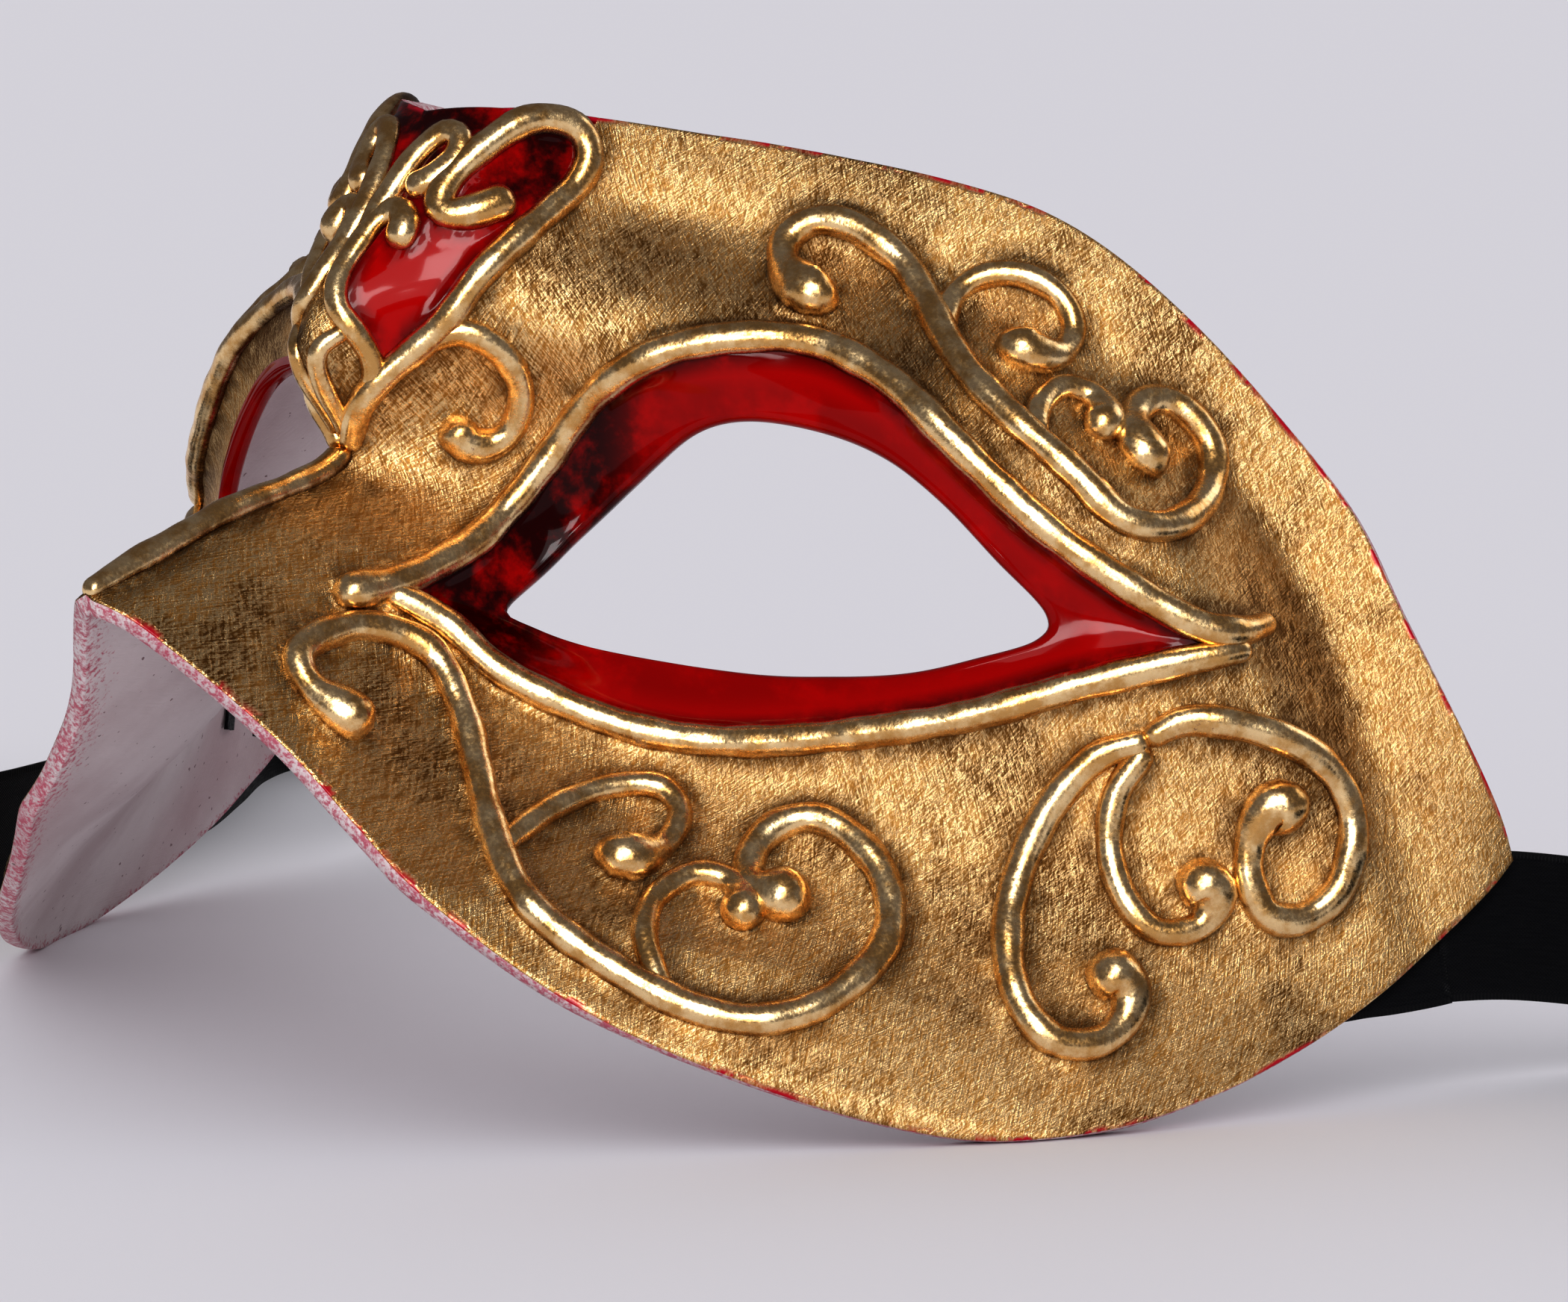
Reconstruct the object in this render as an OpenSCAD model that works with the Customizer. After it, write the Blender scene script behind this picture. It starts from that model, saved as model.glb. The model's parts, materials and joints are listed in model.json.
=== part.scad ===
// Half mask of moulded paper: a curved shell with two eye openings, raised scrollwork on its front,
// and a ribbon glued inside each temple. It leans back and rests on its two cheek edges.
// The wearer's left is +X, the front faces -Y, and the floor is Z = 0.

/* [Shell] */
// Radius of the mask's side-to-side curve
side_r = 92.5; // [88:0.5:97]
// How far the temples lie behind the brow
side_depth = 88; // [80:1:95]
// Thickness of the paper wall
wall = 2; // [1.6:0.1:2.4]
// How deep the lacquered band dips towards each eye opening
band_dip = 2.2; // [0:0.1:3]
// How far the brow draws in behind the line of the eyes towards its top edge
brow_setback = 11; // [8:0.5:12]
// Lean back from upright, in degrees
lean = 20; // [15:1:25]

/* [Scrollwork] */
// Radius of the fine scrolls on the brow
fine_r = 1.3; // [1:0.1:1.6]
// Radius of the broad scrolls and the eye cords
broad_r = 1.6; // [1.2:0.1:2]
// How far the cords stand out, as a share of their radius
stand_out = 0.3; // [0:0.1:0.5]

/* [Ribbons] */
// Width of the ribbon
ribbon_w = 15; // [12:1:16]
// Thickness of the ribbon's solid
ribbon_t = 0.8; // [0.6:0.1:1]
// Outer radius of each ribbon's coil
coil_r = 36; // [34:1:40]
// Radius of the opening in the middle of the left coil
coil_hole_left = 17; // [14:1:20]
// Radius of the opening in the middle of the right coil, which has fewer turns
coil_hole_right = 24; // [20:1:28]

/* [Hidden] */

GOLD = "darkgoldenrod";
PALE_GOLD = "gold";
BLACK = [0.05, 0.05, 0.06];

// The shell's form: height against depth, on the centre line and well out from it.
CENTRE_LINE = [[-52, -75], [-40, -60], [-25, -41], [-10, -22], [1, -8], [10, -17], [25, -12], [40, -7], [55, 5]];
SIDE_LINE = [[-50, -7], [-20, 10], [5, 6], [32, 5], [58, 15]];
SETBACK_WAY = [-0.69, 0.72, 0.10]; // the brow draws in sideways as it draws back
crest_round = 2;   // rounds the ridge down the middle
cheek_taper = 0.08; // the cheeks draw in towards their lower edge

// Every outline is drawn on the shell: distance round it from the centre line, then height.
// Half of the mask's edge: down the centre line, round the cheek to the temple, back over the brow.
EYE_CENTRE = [43, 0];
LOWER_EDGE = [[0, -21], [4, -22], [9, -25], [16, -30], [24, -36], [34, -42.5], [47, -48], [62, -51], [76, -52],
    [88, -51], [98, -47], [104, -41.5], [108, -35], [114, -22.5], [120, -14], [122, -11]];
TOP_EDGE = [[122, -11], [119.5, -7], [113, 0.5], [105, 9], [97, 18], [84, 27.5], [72, 34.5], [62, 38.5],
    [52, 40], [37, 40.2], [22, 39.3], [8, 37.5], [0, 36]];
EYE_EDGE = [[18.6, 0], [17, -4], [16.6, -9.5], [19, -11], [25, -12], [38, -12.2], [47, -11], [55, -9], [62, -6],
    [68, -2.8], [68.6, 0], [63, 4], [56, 8.7], [49, 12], [42, 13.3], [34, 12.8], [28, 10.6], [23.5, 6.6]];
CORD_LOOP = [[12.6, 0], [12, -6], [11.4, -12], [15, -14.2], [21, -18], [30, -19.8], [39, -18.8], [51, -15.2],
    [62, -11], [73, -5.5], [84, -0.5], [86, 1.8], [78, 3.8], [67, 8], [56, 14.3], [48, 19], [40, 20.8],
    [30, 18.6], [22, 14.5], [16, 8.4]];

// Centre lines of the raised cords, drawn the same way.
NOSE_RIDGE = [[0, 1.5], [0, -5.5], [0, -12], [0, -17], [0, -21]];
EYE_UPPER = [[9.6, -14.6], [11.2, -11], [12, -6], [12.6, 0], [16, 8.4], [22, 14.5], [30, 18.6], [40, 20.8],
    [48, 19], [56, 14.3], [67, 8], [78, 3.8], [86, 2.4], [91, 4.6]];
EYE_LOWER = [[11, -12.6], [15, -14.2], [21, -18], [30, -19.8], [39, -18.8], [51, -15.2], [62, -11], [73, -5.5],
    [84, -0.5], [89, 1.4]];
BROW_STRAP = [[12.8, 28.6], [9.6, 26], [7.2, 25.6], [6.4, 27.6], [7.4, 31.2], [10.2, 36], [12.8, 37.4],
    [15.6, 36.9], [17.4, 34.6], [17.6, 32], [16.3, 28.4], [12.2, 20.8], [9.6, 15.8], [6, 10.8], [2.2, 4.8], [0.4, 1]];
BRIDGE_CURL = [[5.4, 10], [7.4, 12.6], [10, 14.6], [12.2, 14.2], [13, 12.2], [12.2, 9.4], [10.2, 5.8], [8.2, 4.6],
    [7, 6.4]];
CREST_CURL = [[0.9, 19], [1, 24], [1.5, 28], [2.4, 31.4], [4, 33.7], [5.7, 33.4], [6.2, 31.4], [5.4, 29.2],
    [4, 27.8], [2.8, 27]];
BROW_COLUMN = [[4.6, 20.8], [4.4, 23.6], [2.9, 24.8], [1.6, 23.4], [1.1, 20.4], [1.1, 17], [2, 14], [3.8, 11.4],
    [4.2, 9], [2.8, 5.6], [0.8, 2.4]];
BRIDGE_LOOP = [[3, 11.8], [1.5, 9.4], [0.8, 6.4], [0.5, 2.6]];
TEMPLE_VINE = [[43, 26.4], [40.5, 25.4], [38, 27.4], [37.4, 30.4], [39.4, 33], [43.2, 33.2], [48, 31], [51, 28],
    [55, 22.4], [60, 18.4], [68, 14], [74, 10.6], [79, 11.2], [82, 15], [81.6, 20], [78, 23], [74.6, 22.8],
    [73.2, 20.4], [74.4, 17.6], [77.4, 16.2]];
TEMPLE_CURL_UPPER = [[53.6, 24.4], [54, 28.4], [56.4, 31.2], [60, 32.2], [64, 31], [66, 28], [64.8, 25], [61.4, 24.4],
    [59.8, 26]];
TEMPLE_CURL_LOWER = [[64, 16.4], [63.8, 19.4], [65.6, 21.8], [68.6, 21.8], [70.4, 19.8], [69.2, 18]];
CHEEK_VINE = [[18.4, -27], [14, -24.4], [11.4, -20.8], [12, -16.8], [15.6, -17.2], [20, -22], [24, -27], [29, -32.6],
    [35, -38], [41, -41.6], [48, -44.2], [55, -45.8], [61, -45.4], [64.6, -42], [64.6, -36], [61, -30.4], [56, -26.4],
    [50.4, -24.4], [47.2, -26], [47, -29.4], [50, -32.8], [55.4, -33]];
CHEEK_CURL_INNER = [[31.6, -35], [31, -30], [32.4, -26.4], [35.6, -25], [38.8, -27], [40.2, -30.6], [39, -33.2],
    [36.6, -31.6]];
CHEEK_CURL_LOWER = [[52, -45], [47.2, -40.6], [44.2, -36.4], [44.4, -33], [47.4, -32.6], [50.4, -34.4],
    [51.6, -37.2]];
JAW_FRONT = [[80, -9.4], [75, -12], [71.6, -17], [70.4, -22.6], [71.8, -28.4], [75.4, -33.6], [80, -37.6],
    [85.4, -40.2], [89.4, -39.6], [90, -36.6], [87.4, -33.4], [82.4, -32.2]];
JAW_MIDDLE = [[80, -10], [77.4, -15], [78, -20.4], [81.4, -24.8], [86, -27.2], [89.6, -25.8], [89.4, -22.4],
    [85.4, -20.6]];
JAW_REAR = [[79.4, -9.6], [83, -6.8], [88, -5.8], [94, -6], [99, -8], [102, -12], [102.2, -18], [99.4, -22.2],
    [95.6, -22.8], [92.4, -19.6], [91.8, -15.4], [93.6, -12.4], [96.8, -13.4]];

// Ribbons. Each tab is glued inside a temple; its line runs back to the edge of the shell.
TAB_LEFT = [[97, -27], [107, -23], [116, -19.4]];
TAB_RIGHT = [[96, -14.5], [106, -13.4], [117, -12.4]];
// Free stretch of each ribbon from its tab to its coil: the middle of its width, standing on edge.
RIBBON_LEFT = [[85, 47.5, 16], [87.4, 56, 15.4], [92, 67, 13.4], [99.5, 79, 10.6], [109.5, 89, 8.4],
    [121.5, 96.4, 7.6], [135, 100.8, 7.5], [150, 101.6, 7.5]];
RIBBON_RIGHT = [[-85.8, 50, 22.8], [-88.6, 61, 21], [-92.6, 74, 18], [-97.6, 88, 14.5], [-104, 100, 11],
    [-112.5, 107.5, 8.6], [-123, 110, 7.6], [-132.5, 106.5, 7.5], [-137, 97.5, 7.5], [-133, 87, 7.5],
    [-123, 74, 7.5], [-111.5, 58.5, 7.5], [-105, 46, 7.5], [-99.5, 33, 7.5], [-95, 20, 7.5], [-92.5, 8, 7.5],
    [-94, -5, 7.5], [-101, -17, 7.5], [-112, -24.4, 7.5], [-125, -27.9, 7.5], [-138, -28.4, 7.5], [-150, -27.9, 7.5]];
COIL_LEFT = [153, 66];
COIL_RIGHT = [-156, 8];

cord_sides = 6;   // sides of a raised cord
cord_step = 3.2;  // distance between a cord's rings
swell = 5.5;      // length over which a cord swells into its rounded end
rays = 84;        // directions from each eye centre in which the shell is sampled
band_rings = 2;   // rings across the lacquered band
face_rings = 8;   // rings from the cord's line to the mask's edge

// ---- curves ----

function clamp(x, lo, hi) = min(hi, max(lo, x));
function smooth(t) = let(s = clamp(t, 0, 1)) s * s * (3 - 2 * s);
function unit(v) = v / norm(v);

// Slope at a knot of a height-to-depth profile, chosen so that the profile never overshoots.
function knot_slope(k, i) =
    let(last = len(k) - 1,
        before = i > 0 ? (k[i][1] - k[i - 1][1]) / (k[i][0] - k[i - 1][0]) : undef,
        after = i < last ? (k[i + 1][1] - k[i][1]) / (k[i + 1][0] - k[i][0]) : undef)
    i == 0 ? after : i == last ? before
    : before * after <= 0 ? 0 : 2 * before * after / (before + after);

// Smooth profile through knots [height, depth].
function profile(k, h) =
    let(x = clamp(h, k[0][0], k[len(k) - 1][0]),
        i = max([for (j = [0 : len(k) - 2]) if (k[j][0] <= x) j]),
        w = k[i + 1][0] - k[i][0],
        t = (x - k[i][0]) / w,
        a = knot_slope(k, i) * w,
        b = knot_slope(k, i + 1) * w)
    (2 * t * t * t - 3 * t * t + 1) * k[i][1] + (t * t * t - 2 * t * t + t) * a
        + (3 * t * t - 2 * t * t * t) * k[i + 1][1] + (t * t * t - t * t) * b;

// Catmull-Rom curve through the points, in steps of about the given length.
function curve(p, step) = [
    for (i = [0 : len(p) - 2])
        let(a = p[max(i - 1, 0)], b = p[i], c = p[i + 1], d = p[min(i + 2, len(p) - 1)],
            n = ceil(norm(c - b) / step))
        for (j = [0 : n - 1])
            let(t = j / n)
            0.5 * (2 * b + (c - a) * t + (2 * a - 5 * b + 4 * c - d) * t * t
                + (3 * b - a - 3 * c + d) * t * t * t),
    p[len(p) - 1]];

// The same, for a closed outline, starting and ending at its first point.
function closed_curve(p, step) =
    let(n = len(p), wrapped = [p[n - 1], for (q = p) q, p[0], p[1]],
        whole = curve(wrapped, step),
        skip = ceil(norm(p[0] - p[n - 1]) / step),
        tail = ceil(norm(p[1] - p[0]) / step))
    [for (i = [skip : len(whole) - 1 - tail]) whole[i]];

// Running length along a list of points.
function lengths(p) = [for (i = 0, s = 0; i < len(p); s = s + (i + 1 < len(p) ? norm(p[i + 1] - p[i]) : 0), i = i + 1) s];

// ---- the shell's surface ----

function ridge_w(h) = 7.5 + 11.5 * clamp((5 - h) / 30, 0, 1.5) + 21.5 * smooth((h - 6) / 24);
function ridge_share(x, h) =
    let(w = ridge_w(h))
    exp(pow(crest_round / w, 1.6) - pow((x * x + crest_round * crest_round) / (w * w), 0.8));

// How far the brow has drawn back at q: nothing at the eyes and the nose, most along the top edge.
function setback(q) =
    let(h = q[1] + 39 * pow(max(0, (q[0] - 52) / 58), 2))
    brow_setback * smooth((h - 14) / 18) * smooth((q[0] - 4) / 24) * (1 - smooth((q[0] - 88) / 32));

// Point of the front surface at distance q[0] round the mask and height q[1].
function face(q) =
    let(a = q[0] / side_r * 180 / PI,
        x = side_r * (1 - cheek_taper * pow(min(q[1], 0) / 60, 2)) * sin(a),
        side = profile(SIDE_LINE, q[1]))
    [x, side + side_depth * (1 - cos(a)) + (profile(CENTRE_LINE, q[1]) - side) * ridge_share(x, q[1]), q[1]]
        + setback(q) * SETBACK_WAY;

// Outward direction, taken across a patch of the given size.
function outward(q, patch) = unit(cross(
    face(q + [patch, 0]) - face(q - [patch, 0]), face(q + [0, patch]) - face(q - [0, patch])));

// ---- shell ----

function heading(p) = atan2(p[1] - EYE_CENTRE[1], p[0] - EYE_CENTRE[0]);
// Distance from the eye's centre against direction, from -180 to 180 degrees.
function polar(p) = let(n = len(p) - 1) [
    [-180, norm(p[0] - EYE_CENTRE)],
    for (i = [1 : n - 1]) [heading(p[i]), norm(p[i] - EYE_CENTRE)],
    [180, norm(p[n] - EYE_CENTRE)]];
function centre_line_r(a) = -EYE_CENTRE[0] / cos(a);

edge_polar = polar(concat([[0, 0]], curve(LOWER_EDGE, 1.5), curve(TOP_EDGE, 1.5), [[0, 0]]));
eye_polar = polar(closed_curve(EYE_EDGE, 1.5));
cord_polar = polar(closed_curve(CORD_LOOP, 1.5));

tip_a = heading(LOWER_EDGE[0]);
brow_a = heading(TOP_EDGE[len(TOP_EDGE) - 1]);
seam_rays = 8; // rays that end on the centre line, below and above the eye centre's level
directions = [
    for (i = [0 : seam_rays - 1]) -180 + (tip_a + 180) * i / seam_rays,
    for (i = [0 : rays - 1]) tip_a + (brow_a - tip_a) * i / rays,
    for (i = [0 : seam_rays - 1]) brow_a + (180 - brow_a) * i / seam_rays];
ray_count = len(directions);
ring_count = 1 + band_rings + face_rings;

function on_seam(j) = directions[j] <= tip_a || directions[j] >= brow_a;
function edge_r(j) = on_seam(j) ? centre_line_r(directions[j]) : lookup(directions[j], edge_polar);

// Place on the shell of ring i on ray j: rings run from the eye opening through the cord's line to the edge.
function place(i, j) =
    let(a = directions[j], eye = lookup(a, eye_polar), cord = min(lookup(a, cord_polar), edge_r(j) - 1),
        r = i <= band_rings ? eye + (cord - eye) * i / band_rings
            : cord + (edge_r(j) - cord) * (i - band_rings) / face_rings,
        q = EYE_CENTRE + r * [cos(a), sin(a)])
    i == ring_count - 1 && on_seam(j) ? [0, q[1]] : q;
function dip(i) = band_dip * (1 - smooth(i / band_rings));
function skin(depth) = [
    for (i = [0 : ring_count - 1]) for (j = [0 : ray_count - 1])
        let(q = place(i, j), p = face(q) - (dip(i) + depth) * outward(q, depth > 0 ? 3 : 1))
        [q[0] == 0 ? 0 : max(p[0], 0.05), p[1], p[2]]];

front_skin = skin(0);
back_skin = skin(wall);

// How high the shell stands so that its lowest edge touches the floor, and the middle of its depth.
leaned = [for (p = concat(front_skin, back_skin))
    [p[1] * cos(lean) + p[2] * sin(lean), p[2] * cos(lean) - p[1] * sin(lean)]];
lift = -min([for (p = leaned) p[1]]);
mid_depth = (min([for (p = leaned) p[0]]) + max([for (p = leaned) p[0]])) / 2;

module seated() translate([0, -mid_depth, lift]) rotate([-lean, 0, 0]) children();
module on_left() seated() children();
module on_right() seated() mirror([1, 0, 0]) children();

function flipped(pts) = [for (p = pts) [-p[0], p[1], p[2]]];

module shell() {
    n = ring_count * ray_count;
    last = ring_count - 1;
    // Number of a point: side 0 is +X and 1 is -X, layer 0 is the front. The sides share the centre line.
    function at(side, layer, i, j) =
        let(k = j % ray_count, s = i == last && on_seam(k) ? 0 : side)
        (2 * s + layer) * n + i * ray_count + k;
    function quad(a, b, c, d, turn) = turn ? [[a, c, b], [a, d, c]] : [[a, b, c], [a, c, d]];
    faces = [
        for (side = [0, 1]) for (j = [0 : ray_count - 1]) each [
            for (layer = [0, 1]) for (i = [0 : last - 1])
                each quad(at(side, layer, i, j), at(side, layer, i, j + 1), at(side, layer, i + 1, j + 1),
                    at(side, layer, i + 1, j), side + layer == 1),
            each quad(at(side, 1, 0, j), at(side, 1, 0, j + 1), at(side, 0, 0, j + 1), at(side, 0, 0, j),
                side == 1),
            if (!(on_seam(j) && on_seam((j + 1) % ray_count)))
                each quad(at(side, 0, last, j), at(side, 0, last, j + 1), at(side, 1, last, j + 1),
                    at(side, 1, last, j), side == 1)]];
    color(GOLD) seated()
        polyhedron(points = concat(front_skin, back_skin, flipped(front_skin), flipped(back_skin)), faces = faces);
}

// ---- raised cords ----

// A cord lying on the shell along a drawn line. radii are at its start, along it, and at its end.
module cord(line, radii) {
    path = curve(line, 0.8);
    run = lengths([for (q = path) face(q)]);
    total = run[len(run) - 1];
    us = [for (i = [0 : len(path) - 1]) [run[i], path[i][0]]];
    vs = [for (i = [0 : len(path) - 1]) [run[i], path[i][1]]];
    function at(s) = [lookup(s, us), lookup(s, vs)];
    // Radius at s: it swells or thins towards each end.
    function radius(s) = radii[1] + (radii[0] - radii[1]) * (1 - smooth((s - radii[0]) / swell))
        + (radii[2] - radii[1]) * (1 - smooth((total - radii[2] - s) / swell));
    steps = ceil((total - radii[0] - radii[2]) / cord_step);
    stations = [
        [0, 0.35], [0.35 * radii[0], 0.8],
        for (i = [0 : steps]) [radii[0] + (total - radii[0] - radii[2]) * i / steps, 1],
        [total - 0.35 * radii[2], 0.8], [total, 0.35]];
    points = [for (k = stations)
        let(s = clamp(k[0], 0, total), q = at(s), n = outward(q, 1),
            along = unit(face(at(min(s + 0.5, total))) - face(at(max(s - 0.5, 0)))),
            across = unit(cross(along, n)), up = cross(across, along), r = radius(s) * k[1],
            c = face(q) + stand_out * radius(s) * n)
        for (m = [0 : cord_sides - 1])
            let(a = 360 * (m + 0.5) / cord_sides)
            c + r * (cos(a) * across + sin(a) * up)];
    rings = len(stations);
    faces = [
        [for (m = [0 : cord_sides - 1]) m],
        [for (m = [cord_sides - 1 : -1 : 0]) (rings - 1) * cord_sides + m],
        for (i = [0 : rings - 2]) for (m = [0 : cord_sides - 1])
            let(a = i * cord_sides + m, b = i * cord_sides + (m + 1) % cord_sides)
            each [[a, a + cord_sides, b + cord_sides], [a, b + cord_sides, b]]];
    polyhedron(points = points, faces = faces);
}

module nose_ridge() color(PALE_GOLD) seated() cord(NOSE_RIDGE, [1.4, 1.5, 1.2]);
module eye_cord_upper() color(PALE_GOLD) cord(EYE_UPPER, [2, broad_r, 1.2]);
module eye_cord_lower() color(PALE_GOLD) cord(EYE_LOWER, [1.5, broad_r, 1.2]);
module brow_strap() color(PALE_GOLD) cord(BROW_STRAP, [1.9, 1.5, 1.2]);
module bridge_curl() color(PALE_GOLD) cord(BRIDGE_CURL, [1, 1.4, 2.1]);
module crest_curl() color(PALE_GOLD) cord(CREST_CURL, [1, fine_r, 1.5]);
module brow_column() color(PALE_GOLD) cord(BROW_COLUMN, [1.7, 1.2, 1]);
module bridge_loop() color(PALE_GOLD) cord(BRIDGE_LOOP, [0.9, 1.1, 0.9]);
module temple_vine() color(PALE_GOLD) cord(TEMPLE_VINE, [2.9, broad_r, 2.6]);
module temple_curl_upper() color(PALE_GOLD) cord(TEMPLE_CURL_UPPER, [1.2, fine_r, 2.5]);
module temple_curl_lower() color(PALE_GOLD) cord(TEMPLE_CURL_LOWER, [1.2, fine_r, 2]);
module cheek_vine() color(PALE_GOLD) cord(CHEEK_VINE, [2.5, broad_r, 2.8]);
module cheek_curl_inner() color(PALE_GOLD) cord(CHEEK_CURL_INNER, [1.2, fine_r, 2.6]);
module cheek_curl_lower() color(PALE_GOLD) cord(CHEEK_CURL_LOWER, [1.2, fine_r, 2.2]);
module jaw_scroll_front() color(PALE_GOLD) cord(JAW_FRONT, [1.3, broad_r, 2.6]);
module jaw_scroll_middle() color(PALE_GOLD) cord(JAW_MIDDLE, [1.3, 1.4, 2.6]);
module jaw_scroll_rear() color(PALE_GOLD) cord(JAW_REAR, [1.3, broad_r, 2.7]);

// ---- ribbons ----

// A flat strip through frames [middle, half of its width as a vector, half of its thickness as a vector].
module strip(frames) {
    points = [for (f = frames) each [f[0] + f[1] + f[2], f[0] - f[1] + f[2], f[0] - f[1] - f[2], f[0] + f[1] - f[2]]];
    last = 4 * (len(frames) - 1);
    faces = [
        [0, 1, 2, 3], [last + 3, last + 2, last + 1, last],
        for (i = [0 : len(frames) - 2]) for (m = [0 : 3])
            let(a = 4 * i + m, b = 4 * i + (m + 1) % 4)
            each [[a, a + 4, b + 4], [a, b + 4, b]]];
    polyhedron(points = points, faces = faces);
}

// The glued end of a ribbon, lying on the shell's inner wall along a drawn line.
module ribbon_tab(line) {
    path = curve(line, 5);
    color(BLACK) strip([for (i = [0 : len(path) - 1])
        let(q = path[i], n = outward(q, 3),
            along = unit(face(path[min(i + 1, len(path) - 1)]) - face(path[max(i - 1, 0)])),
            across = unit(cross(along, n)))
        [face(q) - (wall + ribbon_t / 2 - 0.1) * n, ribbon_w / 2 * across, ribbon_t / 2 * n]]);
}

// The free stretch of a ribbon, on edge.
module ribbon(route) {
    path = curve(route, 8);
    last = len(path) - 1;
    color(BLACK) strip([for (i = [0 : last])
        let(along = path[min(i + 1, last)] - path[max(i - 1, 0)])
        [path[i], [0, 0, ribbon_w / 2], ribbon_t / 2 * unit([along[1], -along[0], 0])]]);
}

// The wound end of a ribbon, on edge on the floor.
module ribbon_coil(middle, hole_r) {
    color(BLACK) translate([middle[0], middle[1], 0]) rotate_extrude($fn = 64)
        translate([hole_r, 0]) square([coil_r - hole_r, ribbon_w]);
}

shell();
nose_ridge();
on_left() eye_cord_upper();  // eye_cord_upper_left
on_right() eye_cord_upper();  // eye_cord_upper_right
on_left() eye_cord_lower();  // eye_cord_lower_left
on_right() eye_cord_lower();  // eye_cord_lower_right
on_left() brow_strap();  // brow_strap_left
on_right() brow_strap();  // brow_strap_right
on_left() bridge_curl();  // bridge_curl_left
on_right() bridge_curl();  // bridge_curl_right
on_left() crest_curl();  // crest_curl_left
on_right() crest_curl();  // crest_curl_right
on_left() brow_column();  // brow_column_left
on_right() brow_column();  // brow_column_right
on_left() bridge_loop();  // bridge_loop_left
on_right() bridge_loop();  // bridge_loop_right
on_left() temple_vine();  // temple_vine_left
on_right() temple_vine();  // temple_vine_right
on_left() temple_curl_upper();  // temple_curl_upper_left
on_right() temple_curl_upper();  // temple_curl_upper_right
on_left() temple_curl_lower();  // temple_curl_lower_left
on_right() temple_curl_lower();  // temple_curl_lower_right
on_left() cheek_vine();  // cheek_vine_left
on_right() cheek_vine();  // cheek_vine_right
on_left() cheek_curl_inner();  // cheek_curl_inner_left
on_right() cheek_curl_inner();  // cheek_curl_inner_right
on_left() cheek_curl_lower();  // cheek_curl_lower_left
on_right() cheek_curl_lower();  // cheek_curl_lower_right
on_left() jaw_scroll_front();  // jaw_scroll_front_left
on_right() jaw_scroll_front();  // jaw_scroll_front_right
on_left() jaw_scroll_middle();  // jaw_scroll_middle_left
on_right() jaw_scroll_middle();  // jaw_scroll_middle_right
on_left() jaw_scroll_rear();  // jaw_scroll_rear_left
on_right() jaw_scroll_rear();  // jaw_scroll_rear_right
on_left() ribbon_tab(TAB_LEFT);  // ribbon_tab_left
on_right() ribbon_tab(TAB_RIGHT);  // ribbon_tab_right
ribbon(RIBBON_LEFT);  // ribbon_left
ribbon(RIBBON_RIGHT);  // ribbon_right
ribbon_coil(COIL_LEFT, coil_hole_left);  // ribbon_coil_left
ribbon_coil(COIL_RIGHT, coil_hole_right);  // ribbon_coil_right
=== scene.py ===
"""Carnival half mask of moulded paper, with gilded scrollwork, red lacquer and a satin tie at each temple.

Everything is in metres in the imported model's frame: +X is the wearer's left, the face looks to -Y and Z = 0 is the
surface that the mask rests on. Lines drawn on the shell are in millimetres: distance round the mask from its centre
line, then height.
"""

from __future__ import annotations

import json
import logging
import math
from dataclasses import dataclass, field
from enum import Enum
from typing import Any, Sequence

import bpy
import numpy as np
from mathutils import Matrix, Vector, kdtree, noise

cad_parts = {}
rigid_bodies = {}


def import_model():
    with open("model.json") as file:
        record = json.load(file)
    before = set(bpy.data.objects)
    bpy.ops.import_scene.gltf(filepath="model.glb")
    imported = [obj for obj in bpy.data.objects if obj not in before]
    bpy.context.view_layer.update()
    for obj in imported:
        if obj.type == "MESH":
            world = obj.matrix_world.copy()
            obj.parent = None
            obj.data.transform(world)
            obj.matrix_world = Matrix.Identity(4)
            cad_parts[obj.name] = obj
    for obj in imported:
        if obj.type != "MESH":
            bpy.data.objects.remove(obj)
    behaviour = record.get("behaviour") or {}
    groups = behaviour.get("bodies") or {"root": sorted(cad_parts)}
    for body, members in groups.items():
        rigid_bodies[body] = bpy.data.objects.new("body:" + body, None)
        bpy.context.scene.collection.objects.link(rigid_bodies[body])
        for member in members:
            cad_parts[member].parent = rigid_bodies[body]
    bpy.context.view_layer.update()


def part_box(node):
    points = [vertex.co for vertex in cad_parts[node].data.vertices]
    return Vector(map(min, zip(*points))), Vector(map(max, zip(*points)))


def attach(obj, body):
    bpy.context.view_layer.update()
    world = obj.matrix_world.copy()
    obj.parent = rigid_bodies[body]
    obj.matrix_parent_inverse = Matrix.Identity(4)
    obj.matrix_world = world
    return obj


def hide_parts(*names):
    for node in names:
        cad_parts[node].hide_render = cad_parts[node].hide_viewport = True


LOG = logging.getLogger("mask")
MM = 0.001
MEETING = 2e-6  # vertices this near each other are one, in metres

Line = Sequence[tuple[float, ...]]
Array = np.ndarray
Colour = tuple[float, ...]


class Side(Enum):
    """A side of the mask, by the sign of its X."""

    LEFT = 1
    RIGHT = -1


# ---------------------------------------------------------------- curves


def smooth(t: Array) -> Array:
    """Ease from 0 to 1 as t runs from 0 to 1."""
    s = np.clip(t, 0.0, 1.0)
    return s * s * (3.0 - 2.0 * s)


def unit(v: Array) -> Array:
    """Each row of v at length 1."""
    return v / np.maximum(np.linalg.norm(v, axis=-1, keepdims=True), 1e-12)


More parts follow.
